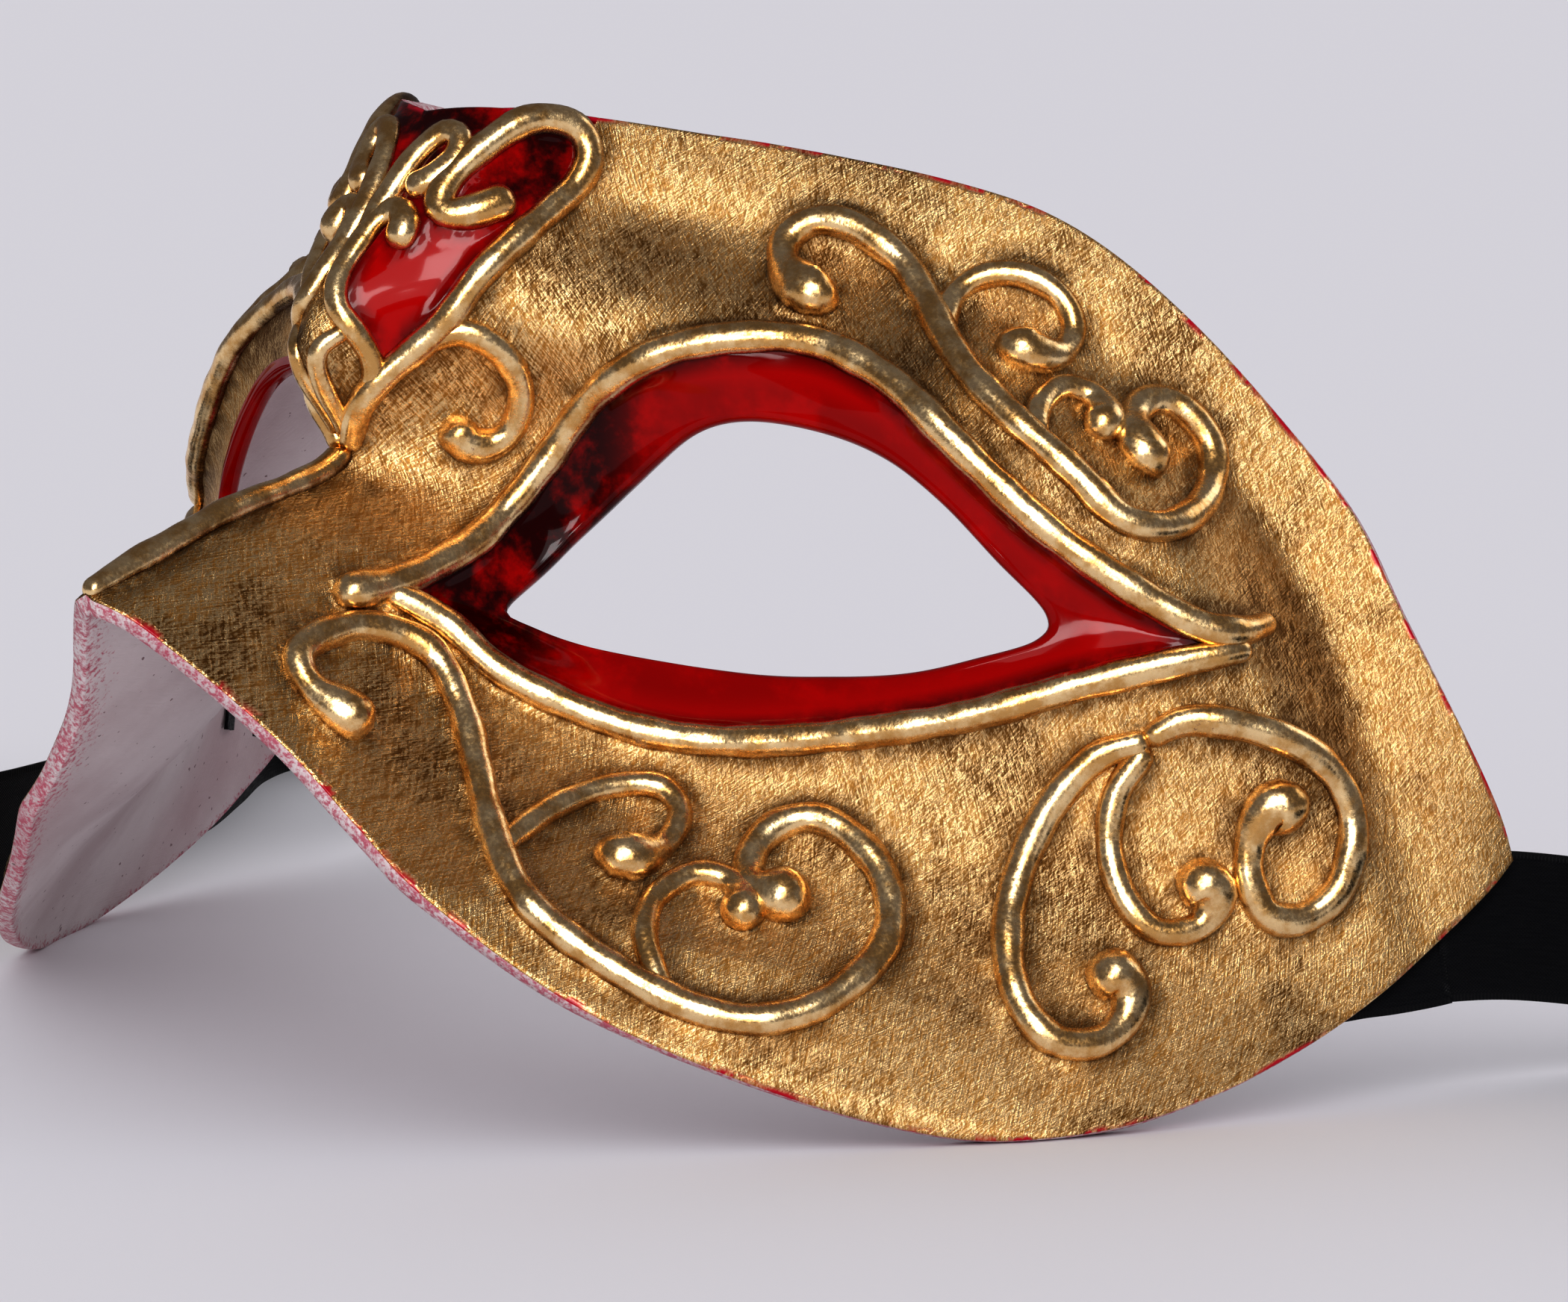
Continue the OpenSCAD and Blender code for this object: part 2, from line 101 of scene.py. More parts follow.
def curve(points: Line, step: float) -> Array:
    """Catmull-Rom curve through points of any dimension, spaced at most step apart, one row each."""
    p = np.asarray(points, float)
    last = len(p) - 1
    out = []
    for i in range(last):
        a, b, c, d = p[max(i - 1, 0)], p[i], p[i + 1], p[min(i + 2, last)]
        count = max(1, math.ceil(np.linalg.norm(c - b) / step))
        t = (np.arange(count) / count)[:, None]
        out.append(
            0.5 * (2 * b + (c - a) * t + (2 * a - 5 * b + 4 * c - d) * t**2 + (3 * b - a - 3 * c + d) * t**3)
        )
    return np.vstack([*out, p[-1:]])


def closed_curve(points: Line, step: float) -> Array:
    """Catmull-Rom curve round a closed outline, from its first point back to it."""
    p = [tuple(q) for q in points]
    whole = curve([p[-1], *p, p[0], p[1]], step)
    skip = math.ceil(math.dist(p[0], p[-1]) / step)
    tail = math.ceil(math.dist(p[1], p[0]) / step)
    return whole[skip : len(whole) - tail]


def run_lengths(p: Array) -> Array:
    """Distance along p to each of its points."""
    return np.concatenate([[0.0], np.cumsum(np.linalg.norm(np.diff(p, axis=0), axis=1))])


def along(p: Array, at: Array) -> Array:
    """Points of the path p at the given distances along it."""
    run = run_lengths(p)
    return np.stack([np.interp(at, run, p[:, k]) for k in range(p.shape[1])], axis=1)


def profile(knots: Line, h: Array) -> Array:
    """Smooth depth at height h through (height, depth) knots, never overshooting between them."""
    k = np.asarray(knots, float)
    width = np.diff(k[:, 0])
    rise = np.diff(k[:, 1]) / width
    with np.errstate(divide="ignore", invalid="ignore"):
        inner = np.where(rise[:-1] * rise[1:] > 0, 2 * rise[:-1] * rise[1:] / (rise[:-1] + rise[1:]), 0.0)
    slope = np.concatenate([rise[:1], inner, rise[-1:]])
    x = np.clip(h, k[0, 0], k[-1, 0])
    i = np.clip(np.searchsorted(k[:, 0], x, side="right") - 1, 0, len(k) - 2)
    t = (x - k[i, 0]) / width[i]
    return (
        (2 * t**3 - 3 * t**2 + 1) * k[i, 1]
        + (t**3 - 2 * t**2 + t) * slope[i] * width[i]
        + (3 * t**2 - 2 * t**3) * k[i + 1, 1]
        + (t**3 - t**2) * slope[i + 1] * width[i]
    )


def inside_distance(q: Array, outline: Array) -> Array:
    """Distance of each point of q from a closed outline, positive inside it."""
    best = np.full(len(q), 1e9)
    odd = np.zeros(len(q), bool)
    for a, b in zip(outline, np.roll(outline, -1, axis=0)):
        ab = b - a
        t = np.clip(((q - a) @ ab) / max(ab @ ab, 1e-9), 0.0, 1.0)
        best = np.minimum(best, np.linalg.norm(q - (a + t[:, None] * ab), axis=1))
        crosses = (a[1] > q[:, 1]) != (b[1] > q[:, 1])
        rise = b[1] - a[1] if b[1] != a[1] else 1e-9
        odd ^= crosses & (q[:, 0] < a[0] + (q[:, 1] - a[1]) / rise * (b[0] - a[0]))
    return np.where(odd, best, -best)


def nearest_tree(points: Array) -> kdtree.KDTree:
    """A tree that finds the nearest of the points."""
    tree = kdtree.KDTree(len(points))
    for i, p in enumerate(points):
        tree.insert(p, i)
    tree.balance()
    return tree


# ---------------------------------------------------------------- meshes


def only(obj: bpy.types.Object) -> None:
    """Select obj and nothing else, and make it active."""
    bpy.ops.object.select_all(action="DESELECT")
    obj.select_set(True)
    bpy.context.view_layer.objects.active = obj


def laid_grid(name: str, places: Array, uv: Array) -> bpy.types.Object:
    """A grid primitive with every vertex laid at its own place.

    Args:
        name: the piece's name.
        places: rows by columns by 3, in metres.
        uv: rows by columns by 2, for the UV map that patterns follow.

    Returns:
        The object, selected and active, at the origin.
    """
    rows, columns = places.shape[:2]
    bpy.ops.object.select_all(action="DESELECT")
    bpy.ops.mesh.primitive_grid_add(x_subdivisions=columns - 1, y_subdivisions=rows - 1, size=2)
    obj = bpy.context.object
    obj.name = obj.data.name = name
    mesh = obj.data
    co = np.empty(len(mesh.vertices) * 3)
    mesh.vertices.foreach_get("co", co)
    co = co.reshape(-1, 3)
    column = np.rint((co[:, 0] + 1) / 2 * (columns - 1)).astype(int)
    row = np.rint((co[:, 1] + 1) / 2 * (rows - 1)).astype(int)
    mesh.vertices.foreach_set("co", places[row, column].ravel())
    loop_vertex = np.empty(len(mesh.loops), int)
    mesh.loops.foreach_get("vertex_index", loop_vertex)
    mesh.uv_layers[0].name = "lie"
    mesh.uv_layers[0].data.foreach_set("uv", uv[row, column][loop_vertex].ravel())
    store(obj, "grid_row", row.astype(float))
    store(obj, "grid_column", column.astype(float))
    return obj


def store(obj: bpy.types.Object, name: str, values: Array) -> None:
    """Keep one number per vertex on the mesh under a name that materials read."""
    layer = obj.data.attributes.new(name, "FLOAT", "POINT")
    layer.data.foreach_set("value", np.asarray(values, np.float32).ravel())


def fetch(obj: bpy.types.Object, name: str) -> Array:
    """The numbers kept on the mesh under that name."""
    layer = obj.data.attributes[name]
    out = np.empty(len(layer.data), np.float32)
    layer.data.foreach_get("value", out)
    return out


def store_grid(obj: bpy.types.Object, name: str, values: Array) -> None:
    """Keep rows-by-columns numbers on a laid grid, before its doubles are merged."""
    row, column = fetch(obj, "grid_row").astype(int), fetch(obj, "grid_column").astype(int)
    store(obj, name, values[row, column])


def forget_grid(obj: bpy.types.Object) -> None:
    """Drop the rows and columns kept on a laid grid."""
    for name in ("grid_row", "grid_column"):
        obj.data.attributes.remove(obj.data.attributes[name])


def close_up(obj: bpy.types.Object) -> None:
    """Merge the vertices that meet, turn the faces outwards and shade smooth."""
    forget_grid(obj)
    only(obj)
    bpy.ops.object.mode_set(mode="EDIT")
    bpy.ops.mesh.select_all(action="SELECT")
    bpy.ops.mesh.remove_doubles(threshold=MEETING)
    bpy.ops.mesh.dissolve_degenerate(threshold=1e-7)
    bpy.ops.mesh.select_all(action="SELECT")
    bpy.ops.mesh.normals_make_consistent(inside=False)
    bpy.ops.object.mode_set(mode="OBJECT")
    bpy.ops.object.shade_smooth()


# ---------------------------------------------------------------- drawing on the shell

EYE_CENTRE = np.array([43.0, 0.0])
LOWER_EDGE = [
    (0, -21), (4, -22), (9, -25), (16, -30), (24, -36), (34, -42.5), (47, -48), (62, -51), (76, -52),
    (88, -51), (98, -47), (104, -41.5), (108, -35), (114, -22.5), (120, -14), (122, -11),
]  # fmt: skip
TOP_EDGE = [
    (122, -11), (119.5, -7), (113, 0.5), (105, 9), (97, 18), (84, 27.5), (72, 34.5), (62, 38.5),
    (52, 40), (37, 40.2), (22, 39.3), (8, 37.5), (0, 36),
]  # fmt: skip
EYE_EDGE = [
    (18.6, 0), (17, -4), (16.6, -9.5), (19, -11), (25, -12), (38, -12.2), (47, -11), (55, -9), (62, -6),
    (68, -2.8), (68.6, 0), (63, 4), (56, 8.7), (49, 12), (42, 13.3), (34, 12.8), (28, 10.6), (23.5, 6.6),
]  # fmt: skip
CORD_LOOP = [
    (12.6, 0), (12, -6), (11.4, -12), (15, -14.2), (21, -18), (30, -19.8), (39, -18.8), (51, -15.2),
    (62, -11), (73, -5.5), (84, -0.5), (86, 1.8), (78, 3.8), (67, 8), (56, 14.3), (48, 19), (40, 20.8),
    (30, 18.6), (22, 14.5), (16, 8.4),
]  # fmt: skip
# The red panel of one half of the brow, out to the strap. Its top crosses the centre line, so the halves meet.
BROW_PANEL = [
    (-9, 31), (-9, 40), (14, 40), (16.5, 36.5), (17.6, 32), (16.3, 28.4), (12.2, 20.8), (9.6, 15.8), (6, 10.8),
    (4.4, 9.4), (3.6, 11.6), (2, 14), (1.2, 17), (1.2, 20.4), (1.4, 24), (1, 28), (-2, 30),
]  # fmt: skip
# The part of the lacquered band that is gilded on the wearer's right: above the eye, towards the nose.
GILDED_BAND = [(4, 6), (22, 4), (40, 8), (56, 4), (66, -1), (78, -4), (92, 2), (72, 18), (40, 30), (10, 20)]


@dataclass(frozen=True)
class CordLine:
    """A raised cord: its line on the shell and its radii at its start, along it and at its end, in millimetres."""

    name: str
    line: Line
    radii: tuple[float, float, float]


FINE, BROAD = 1.3, 1.6
NOSE_RIDGE = CordLine("nose_ridge", [(0, 1.5), (0, -5.5), (0, -12), (0, -17), (0, -21)], (1.4, 1.5, 1.2))
PAIRED_CORDS = [
    CordLine("eye_cord_upper", [
        (9.6, -14.6), (11.2, -11), (12, -6), (12.6, 0), (16, 8.4), (22, 14.5), (30, 18.6), (40, 20.8),
        (48, 19), (56, 14.3), (67, 8), (78, 3.8), (86, 2.4), (91, 4.6)], (2, BROAD, 1.2)),
    CordLine("eye_cord_lower", [
        (11, -12.6), (15, -14.2), (21, -18), (30, -19.8), (39, -18.8), (51, -15.2), (62, -11), (73, -5.5),
        (84, -0.5), (89, 1.4)], (1.5, BROAD, 1.2)),
    CordLine("brow_strap", [
        (12.8, 28.6), (9.6, 26), (7.2, 25.6), (6.4, 27.6), (7.4, 31.2), (10.2, 36), (12.8, 37.4),
        (15.6, 36.9), (17.4, 34.6), (17.6, 32), (16.3, 28.4), (12.2, 20.8), (9.6, 15.8), (6, 10.8),
        (2.2, 4.8), (0.4, 1)], (1.9, 1.5, 1.2)),
    CordLine("bridge_curl", [
        (5.4, 10), (7.4, 12.6), (10, 14.6), (12.2, 14.2), (13, 12.2), (12.2, 9.4), (10.2, 5.8), (8.2, 4.6),
        (7, 6.4)], (1, 1.4, 2.1)),
    CordLine("crest_curl", [
        (0.9, 19), (1, 24), (1.5, 28), (2.4, 31.4), (4, 33.7), (5.7, 33.4), (6.2, 31.4), (5.4, 29.2),
        (4, 27.8), (2.8, 27)], (1, FINE, 1.5)),
    CordLine("brow_column", [
        (4.6, 20.8), (4.4, 23.6), (2.9, 24.8), (1.6, 23.4), (1.1, 20.4), (1.1, 17), (2, 14), (3.8, 11.4),
        (4.2, 9), (2.8, 5.6), (0.8, 2.4)], (1.7, 1.2, 1)),
    CordLine("bridge_loop", [(3, 11.8), (1.5, 9.4), (0.8, 6.4), (0.5, 2.6)], (0.9, 1.1, 0.9)),
    CordLine("temple_vine", [
        (43, 26.4), (40.5, 25.4), (38, 27.4), (37.4, 30.4), (39.4, 33), (43.2, 33.2), (48, 31), (51, 28),
        (55, 22.4), (60, 18.4), (68, 14), (74, 10.6), (79, 11.2), (82, 15), (81.6, 20), (78, 23), (74.6, 22.8),
        (73.2, 20.4), (74.4, 17.6), (77.4, 16.2)], (2.9, BROAD, 2.6)),
    CordLine("temple_curl_upper", [
        (53.6, 24.4), (54, 28.4), (56.4, 31.2), (60, 32.2), (64, 31), (66, 28), (64.8, 25), (61.4, 24.4),
        (59.8, 26)], (1.2, FINE, 2.5)),
    CordLine("temple_curl_lower", [
        (64, 16.4), (63.8, 19.4), (65.6, 21.8), (68.6, 21.8), (70.4, 19.8), (69.2, 18)], (1.2, FINE, 2)),
    CordLine("cheek_vine", [
        (18.4, -27), (14, -24.4), (11.4, -20.8), (12, -16.8), (15.6, -17.2), (20, -22), (24, -27), (29, -32.6),
        (35, -38), (41, -41.6), (48, -44.2), (55, -45.8), (61, -45.4), (64.6, -42), (64.6, -36), (61, -30.4),
        (56, -26.4), (50.4, -24.4), (47.2, -26), (47, -29.4), (50, -32.8), (55.4, -33)], (2.5, BROAD, 2.8)),
    CordLine("cheek_curl_inner", [
        (31.6, -35), (31, -30), (32.4, -26.4), (35.6, -25), (38.8, -27), (40.2, -30.6), (39, -33.2),
        (36.6, -31.6)], (1.2, FINE, 2.6)),
    CordLine("cheek_curl_lower", [
        (52, -45), (47.2, -40.6), (44.2, -36.4), (44.4, -33), (47.4, -32.6), (50.4, -34.4),
        (51.6, -37.2)], (1.2, FINE, 2.2)),
    CordLine("jaw_scroll_front", [
        (80, -9.4), (75, -12), (71.6, -17), (70.4, -22.6), (71.8, -28.4), (75.4, -33.6), (80, -37.6),
        (85.4, -40.2), (89.4, -39.6), (90, -36.6), (87.4, -33.4), (82.4, -32.2)], (1.3, BROAD, 2.6)),
    CordLine("jaw_scroll_middle", [
        (80, -10), (77.4, -15), (78, -20.4), (81.4, -24.8), (86, -27.2), (89.6, -25.8), (89.4, -22.4),
        (85.4, -20.6)], (1.3, 1.4, 2.6)),
    CordLine("jaw_scroll_rear", [
        (79.4, -9.6), (83, -6.8), (88, -5.8), (94, -6), (99, -8), (102, -12), (102.2, -18), (99.4, -22.2),
        (95.6, -22.8), (92.4, -19.6), (91.8, -15.4), (93.6, -12.4), (96.8, -13.4)], (1.3, BROAD, 2.7)),
]  # fmt: skip


@dataclass
class ShellForm:
    """The shape of the shell's front surface, and where it sits as the mask leans back."""

    side_r: float = 92.5
    side_depth: float = 88.0
    wall: float = 2.0
    band_dip: float = 2.2
    lean: float = math.radians(20)
    crest_round: float = 2.0
    cheek_taper: float = 0.08
    centre_line: Line = (
        (-52, -75), (-40, -60), (-25, -41), (-10, -22), (1, -8), (10, -17), (25, -12), (40, -7), (55, 5),
    )  # fmt: skip
    side_line: Line = ((-50, -7), (-20, 10), (5, 6), (32, 5), (58, 15))
    brow_setback: float = 11.0
    setback_way: tuple[float, float, float] = (-0.69, 0.72, 0.10)
    seat_shift: Array = field(default_factory=lambda: np.zeros(3))

    def face(self, q: Array) -> Array:
        """Points of the front surface, in millimetres upright, at rows of (distance round, height)."""
        q = np.asarray(q, float)
        a, h = q[..., 0] / self.side_r, q[..., 1]
        x = self.side_r * (1 - self.cheek_taper * (np.minimum(h, 0) / 60) ** 2) * np.sin(a)
        side = profile(self.side_line, h)
        width = 7.5 + 11.5 * np.clip((5 - h) / 30, 0, 1.5) + 21.5 * smooth((h - 6) / 24)
        r = self.crest_round
        share = np.exp((r / width) ** 1.6 - ((x * x + r * r) / width**2) ** 0.8)
        y = side + self.side_depth * (1 - np.cos(a)) + (profile(self.centre_line, h) - side) * share
        return np.stack([x, y, h], axis=-1) + self.setback(q)[..., None] * np.array(self.setback_way)

    def setback(self, q: Array) -> Array:
        """How far the brow has drawn back at each q: nothing at the eyes, most along the top edge."""
        u = q[..., 0]
        h = q[..., 1] + 39 * (np.maximum(0, u - 52) / 58) ** 2
        return self.brow_setback * smooth((h - 14) / 18) * smooth((u - 4) / 24) * (1 - smooth((u - 88) / 32))

    def outward(self, q: Array, patch: float) -> Array:
        """Outward direction at each q, taken across a patch of that size."""
        q = np.asarray(q, float)
        du, dv = np.array([patch, 0.0]), np.array([0.0, patch])
        return unit(np.cross(self.face(q + du) - self.face(q - du), self.face(q + dv) - self.face(q - dv)))

    def leaned(self, p: Array) -> Array:
        """Upright millimetres to leaning metres, before the mask is set down."""
        c, s = math.cos(self.lean), math.sin(self.lean)
        return np.stack([p[..., 0], p[..., 1] * c + p[..., 2] * s, p[..., 2] * c - p[..., 1] * s], axis=-1) * MM

    def seat(self, p: Array) -> Array:
        """Upright millimetres to metres in the model's frame."""
        return self.leaned(p) + self.seat_shift

    def settle(self, box: tuple[Any, Any]) -> None:
        """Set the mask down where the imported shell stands.

        Args:
            box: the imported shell's lowest and highest corners.
        """
        q = np.vstack([curve(LOWER_EDGE, 1.0), curve(TOP_EDGE, 1.0), [(0.0, -21.0)]])
        skins = [self.face(q), self.face(q) - self.wall * self.outward(q, 3.0)]
        p = self.leaned(np.vstack(skins))
        middle = (p[:, 1].min() + p[:, 1].max()) / 2
        self.seat_shift = np.array([0.0, (box[0][1] + box[1][1]) / 2 - middle, box[0][2] - p[:, 2].min()])


# ---------------------------------------------------------------- finishes


class Graph:
    """A material's nodes, with short calls for the few kinds that the finishes here use."""

    def __init__(self, name: str) -> None:
        """Start an empty material of that name with one Principled shader."""
        self.material = bpy.data.materials.new(name)
        self.material.use_nodes = True
        self.tree = self.material.node_tree
        self.shader = self.tree.nodes["Principled BSDF"]
        self.objects = self.node("ShaderNodeTexCoord").outputs["Object"]

    def node(self, kind: str, settings: dict[str, Any] | None = None, **sockets: Any) -> bpy.types.Node:
        """Add a node.

        Args:
            kind: the node's type.
            settings: its properties.
            sockets: values or links for its inputs, by name with _ for a space, or i and a number.

        Returns:
            The new node.
        """
        made = self.tree.nodes.new(kind)
        for key, value in (settings or {}).items():
            setattr(made, key, value)
        for key, value in sockets.items():
            plug = made.inputs[int(key[1:])] if key[1:].isdigit() else made.inputs[key.replace("_", " ")]
            self.plug(plug, value)
        return made

    def plug(self, target: bpy.types.NodeSocket, value: Any) -> None:
        """Link a socket to target, or set target's own value."""
        if isinstance(value, bpy.types.NodeSocket):
            self.tree.links.new(value, target)
        else:
            target.default_value = value

    def set(self, **sockets: Any) -> None:
        """Set or link the shader's inputs by name, with _ for a space."""
        for key, value in sockets.items():
            self.plug(self.shader.inputs[key.replace("_", " ")], value)

    def stretched(self, source: Any, scale: tuple[float, float, float], turn: float = 0.0) -> Any:
        """Coordinates turned about Z by some degrees and scaled."""
        return self.node(
            "ShaderNodeMapping", {"vector_type": "TEXTURE"}, Vector=source, Scale=[1 / k for k in scale],
            Rotation=(0.0, 0.0, math.radians(turn)),
        ).outputs[0]  # fmt: skip

    def grain(self, at: Any, scale: float, detail: float = 3.0, rough: float = 0.55) -> Any:
        """Noise from 0 to 1 at coordinates."""
        return self.node("ShaderNodeTexNoise", Vector=at, Scale=scale, Detail=detail, Roughness=rough).outputs[0]

    def kept(self, name: str) -> Any:
        """A number kept on the mesh."""
        return self.node("ShaderNodeAttribute", {"attribute_name": name}).outputs["Fac"]

    def lie(self) -> Any:
        """The UV map that follows the surface."""
        return self.node("ShaderNodeUVMap", {"uv_map": "lie"}).outputs[0]

    def math(self, kind: str, a: Any, b: Any = 0.0, clamp: bool = False) -> Any:
        """A Math node's result."""
        return self.node("ShaderNodeMath", {"operation": kind, "use_clamp": clamp}, i0=a, i1=b).outputs[0]

    def spread(self, value: Any, low: float, high: float, to_low: float = 0.0, to_high: float = 1.0) -> Any:
        """Value from low to high spread smoothly over to_low to to_high."""
        return self.node(
            "ShaderNodeMapRange", {"interpolation_type": "SMOOTHSTEP"}, i0=value, i1=low, i2=high, i3=to_low, i4=to_high
        ).outputs[0]

    def blend(self, share: Any, a: Any, b: Any) -> Any:
        """Colour a to colour b as share runs from 0 to 1."""
        return self.node("ShaderNodeMix", {"data_type": "RGBA"}, i0=share, i6=a, i7=b).outputs[2]

    def between(self, share: Any, a: Any, b: Any) -> Any:
        """Number a to number b as share runs from 0 to 1."""
        return self.node("ShaderNodeMix", {"data_type": "FLOAT"}, i0=share, i2=a, i3=b).outputs[0]

    def bump(self, height: Any, depth: float, strength: float = 1.0, under: Any = None) -> Any:
        """Normal of a surface bumped by height, where 1 is depth in metres, on top of the normal under."""
        made = self.node("ShaderNodeBump", Height=height, Distance=depth, Strength=strength)
        if under is not None:
            self.plug(made.inputs["Normal"], under)
        return made.outputs[0]


@dataclass(frozen=True)
class GildedPaper:
    """The shell's front: brushed gold leaf with worn dark patches, and red lacquer in its bands and panels."""

    bright: Colour = (1.0, 0.72, 0.37, 1)
    worn: Colour = (0.52, 0.255, 0.06, 1)
    dark: Colour = (0.13, 0.055, 0.012, 1)
    lacquer: Colour = (0.40, 0.0, 0.0, 1)
    lacquer_dark: Colour = (0.02, 0.0, 0.0, 1)
    edge_red: Colour = (0.42, 0.005, 0.02, 1)
    brushing: tuple[tuple[float, float], ...] = ((56, 640), (121, 600), (92, 520))

    def material(self) -> bpy.types.Material:
        """Build the finish."""
        g = Graph("gilded_paper")
        lie = g.lie()
        strokes = [g.grain(g.stretched(lie, (0.07, 1, 1), turn), scale, 3, 0.6) for turn, scale in self.brushing]
        relief = g.math("ADD", g.math("ADD", strokes[0], strokes[1]), g.math("MULTIPLY", strokes[2], 0.8))
        fleck = g.grain(g.objects, 3800, 2)
        crease = g.kept("crease")
        sparkle = g.spread(g.math("ADD", relief, g.math("MULTIPLY", fleck, 0.6)), 1.50, 1.90)
        leaf = g.blend(sparkle, self.worn, self.bright)
        patch = g.math("MULTIPLY", g.spread(g.grain(g.objects, 70, 5, 0.68), 0.46, 0.62), 0.85)
        tarnish = g.math("MULTIPLY", patch, g.math("SUBTRACT", 1.1, sparkle), True)
        leaf = g.blend(tarnish, leaf, self.dark)
        # Painted shade with patina: the leaf darkens at the cords' feet, where they meet the shell.
        patina_and_shade = g.math("MULTIPLY", crease, g.spread(g.grain(g.objects, 240, 4, 0.65), 0.34, 0.60))
        leaf = g.blend(g.math("MULTIPLY", patina_and_shade, 0.92), leaf, self.dark)
        flakes = g.grain(g.objects, 190, 4, 0.6)
        bare = g.math("MULTIPLY", g.spread(g.kept("edge"), 0.055, 0.012), g.spread(flakes, 0.50, 0.56))
        band = g.kept("lacquer")
        red = g.spread(g.math("ADD", band, g.math("MULTIPLY", g.grain(g.objects, 900, 3), 0.12)), 0.50, 0.60)
        # Painted shade with antique wash: the lacquer darkens in its recesses and at the cords' feet.
        shade = g.math("MULTIPLY", g.kept("antique"), g.spread(g.grain(g.objects, 150, 5, 0.62), 0.30, 0.56))
        paint = g.blend(shade, self.lacquer, self.lacquer_dark)
        colour = g.blend(bare, g.blend(red, leaf, paint), self.edge_red)
        lacquered = g.math("MAXIMUM", red, bare)
        rough = g.between(lacquered, g.spread(g.math("SUBTRACT", sparkle, tarnish), 0, 1, 0.38, 0.20), 0.10)
        coarse = g.bump(g.grain(g.objects, 200, 4, 0.6), 0.00016, 0.35)
        quiet = g.math("SUBTRACT", 1.0, g.math("MULTIPLY", lacquered, 0.97))
        fine = g.bump(g.math("MULTIPLY", relief, quiet), 0.00011, 1.0, coarse)
        smooth_mix = g.node("ShaderNodeMix", {"data_type": "VECTOR"}, i0=lacquered, i4=fine)
        g.plug(smooth_mix.inputs[5], g.bump(g.grain(g.objects, 60, 2), 0.0001, 0.3))
        g.set(Base_Color=colour, Metallic=g.math("SUBTRACT", 1.0, lacquered), Roughness=rough)
        g.set(Normal=smooth_mix.outputs[1])
        g.set(Coat_Weight=g.math("MULTIPLY", lacquered, 0.22), Coat_Roughness=0.05)
        g.set(Specular_IOR_Level=g.math("SUBTRACT", 0.5, g.math("MULTIPLY", lacquered, 0.42)))
        return g.material


@dataclass(frozen=True)
class GildedCord:
    """A raised cord: smooth pale gold, dark at its foot with painted shade and patina, with purple where the leaf is
    thin.
    """

    bright: Colour = (1.0, 0.75, 0.42, 1)
    warm: Colour = (0.72, 0.43, 0.16, 1)
    foot: Colour = (0.085, 0.028, 0.008, 1)
    bare: Colour = (0.10, 0.02, 0.035, 1)

    def material(self) -> bpy.types.Material:
        """Build the finish."""
        g = Graph("gilded_cord")
        rise = g.kept("rise")
        mottle = g.grain(g.objects, 300, 5, 0.65)
        fine = g.grain(g.objects, 2600, 3)
        gold = g.blend(g.spread(mottle, 0.38, 0.62), self.warm, self.bright)
        # Painted shade with patina: the gold darkens low round the cord, towards its foot on the shell.
        low = g.math("ADD", rise, g.math("MULTIPLY", g.math("SUBTRACT", mottle, 0.5), 0.8))
        gold = g.blend(g.math("MULTIPLY", g.spread(low, 0.62, 0.30), 0.9), gold, self.foot)
        spots = g.spread(g.grain(g.objects, 620, 4, 0.65), 0.62, 0.70)
        thin = g.math("MULTIPLY", spots, g.spread(g.grain(g.objects, 110, 2), 0.54, 0.68))
        gold = g.blend(g.math("MULTIPLY", thin, 0.85), gold, self.bare)
        rough = g.between(g.spread(fine, 0.3, 0.7), 0.18, 0.32)
        pitted = g.bump(fine, 0.00004, 0.6)
        g.set(Base_Color=gold, Metallic=g.math("SUBTRACT", 1.0, g.math("MULTIPLY", thin, 0.7)), Roughness=rough)
        g.set(Normal=g.bump(g.grain(g.objects, 420, 3), 0.00016, 0.6, pitted))
        return g.material


@dataclass(frozen=True)
class RawPaper:
    """The inside of the shell: bare wool paper with fibres and specks, pink with overspray towards its edges."""

    plain: Colour = (0.80, 0.71, 0.71, 1)
    deep: Colour = (0.64, 0.53, 0.535, 1)
    pink: Colour = (0.50, 0.06, 0.12, 1)
    speck: Colour = (0.16, 0.05, 0.06, 1)

    def material(self) -> bpy.types.Material:
        """Build the finish."""
        g = Graph("raw_paper")
        lie = g.lie()
        fibre = g.grain(g.stretched(lie, (0.12, 1, 1), 20), 380, 4, 0.65)
        cross = g.grain(g.stretched(lie, (0.12, 1, 1), 95), 330, 4, 0.65)
        cloud = g.grain(g.objects, 45, 4)
        paper = g.blend(g.spread(cloud, 0.35, 0.7), self.plain, self.deep)
        edge = g.kept("edge")
        mist = g.grain(g.objects, 1500, 2, 0.8)
        reach = g.spread(g.math("ADD", edge, g.math("MULTIPLY", g.math("SUBTRACT", mist, 0.5), 0.60)), 0.10, -0.06)
        paper = g.blend(g.math("MULTIPLY", reach, 0.85), paper, self.pink)
        veil = g.math("MULTIPLY", g.spread(g.grain(g.objects, 22, 3), 0.45, 0.75), 0.16)
        paper = g.blend(veil, paper, self.pink)
        dots = g.spread(g.grain(g.objects, 1100, 2, 0.4), 0.715, 0.75)
        paper = g.blend(g.math("MULTIPLY", dots, 0.75), paper, self.speck)
        felt = g.bump(g.math("ADD", fibre, cross), 0.00016, 0.8, g.bump(g.grain(g.objects, 160, 3), 0.0004, 0.5))
        g.set(Base_Color=paper, Roughness=0.95, Normal=felt, Specular_IOR_Level=0.15, Sheen_Weight=0.15)
        return g.material


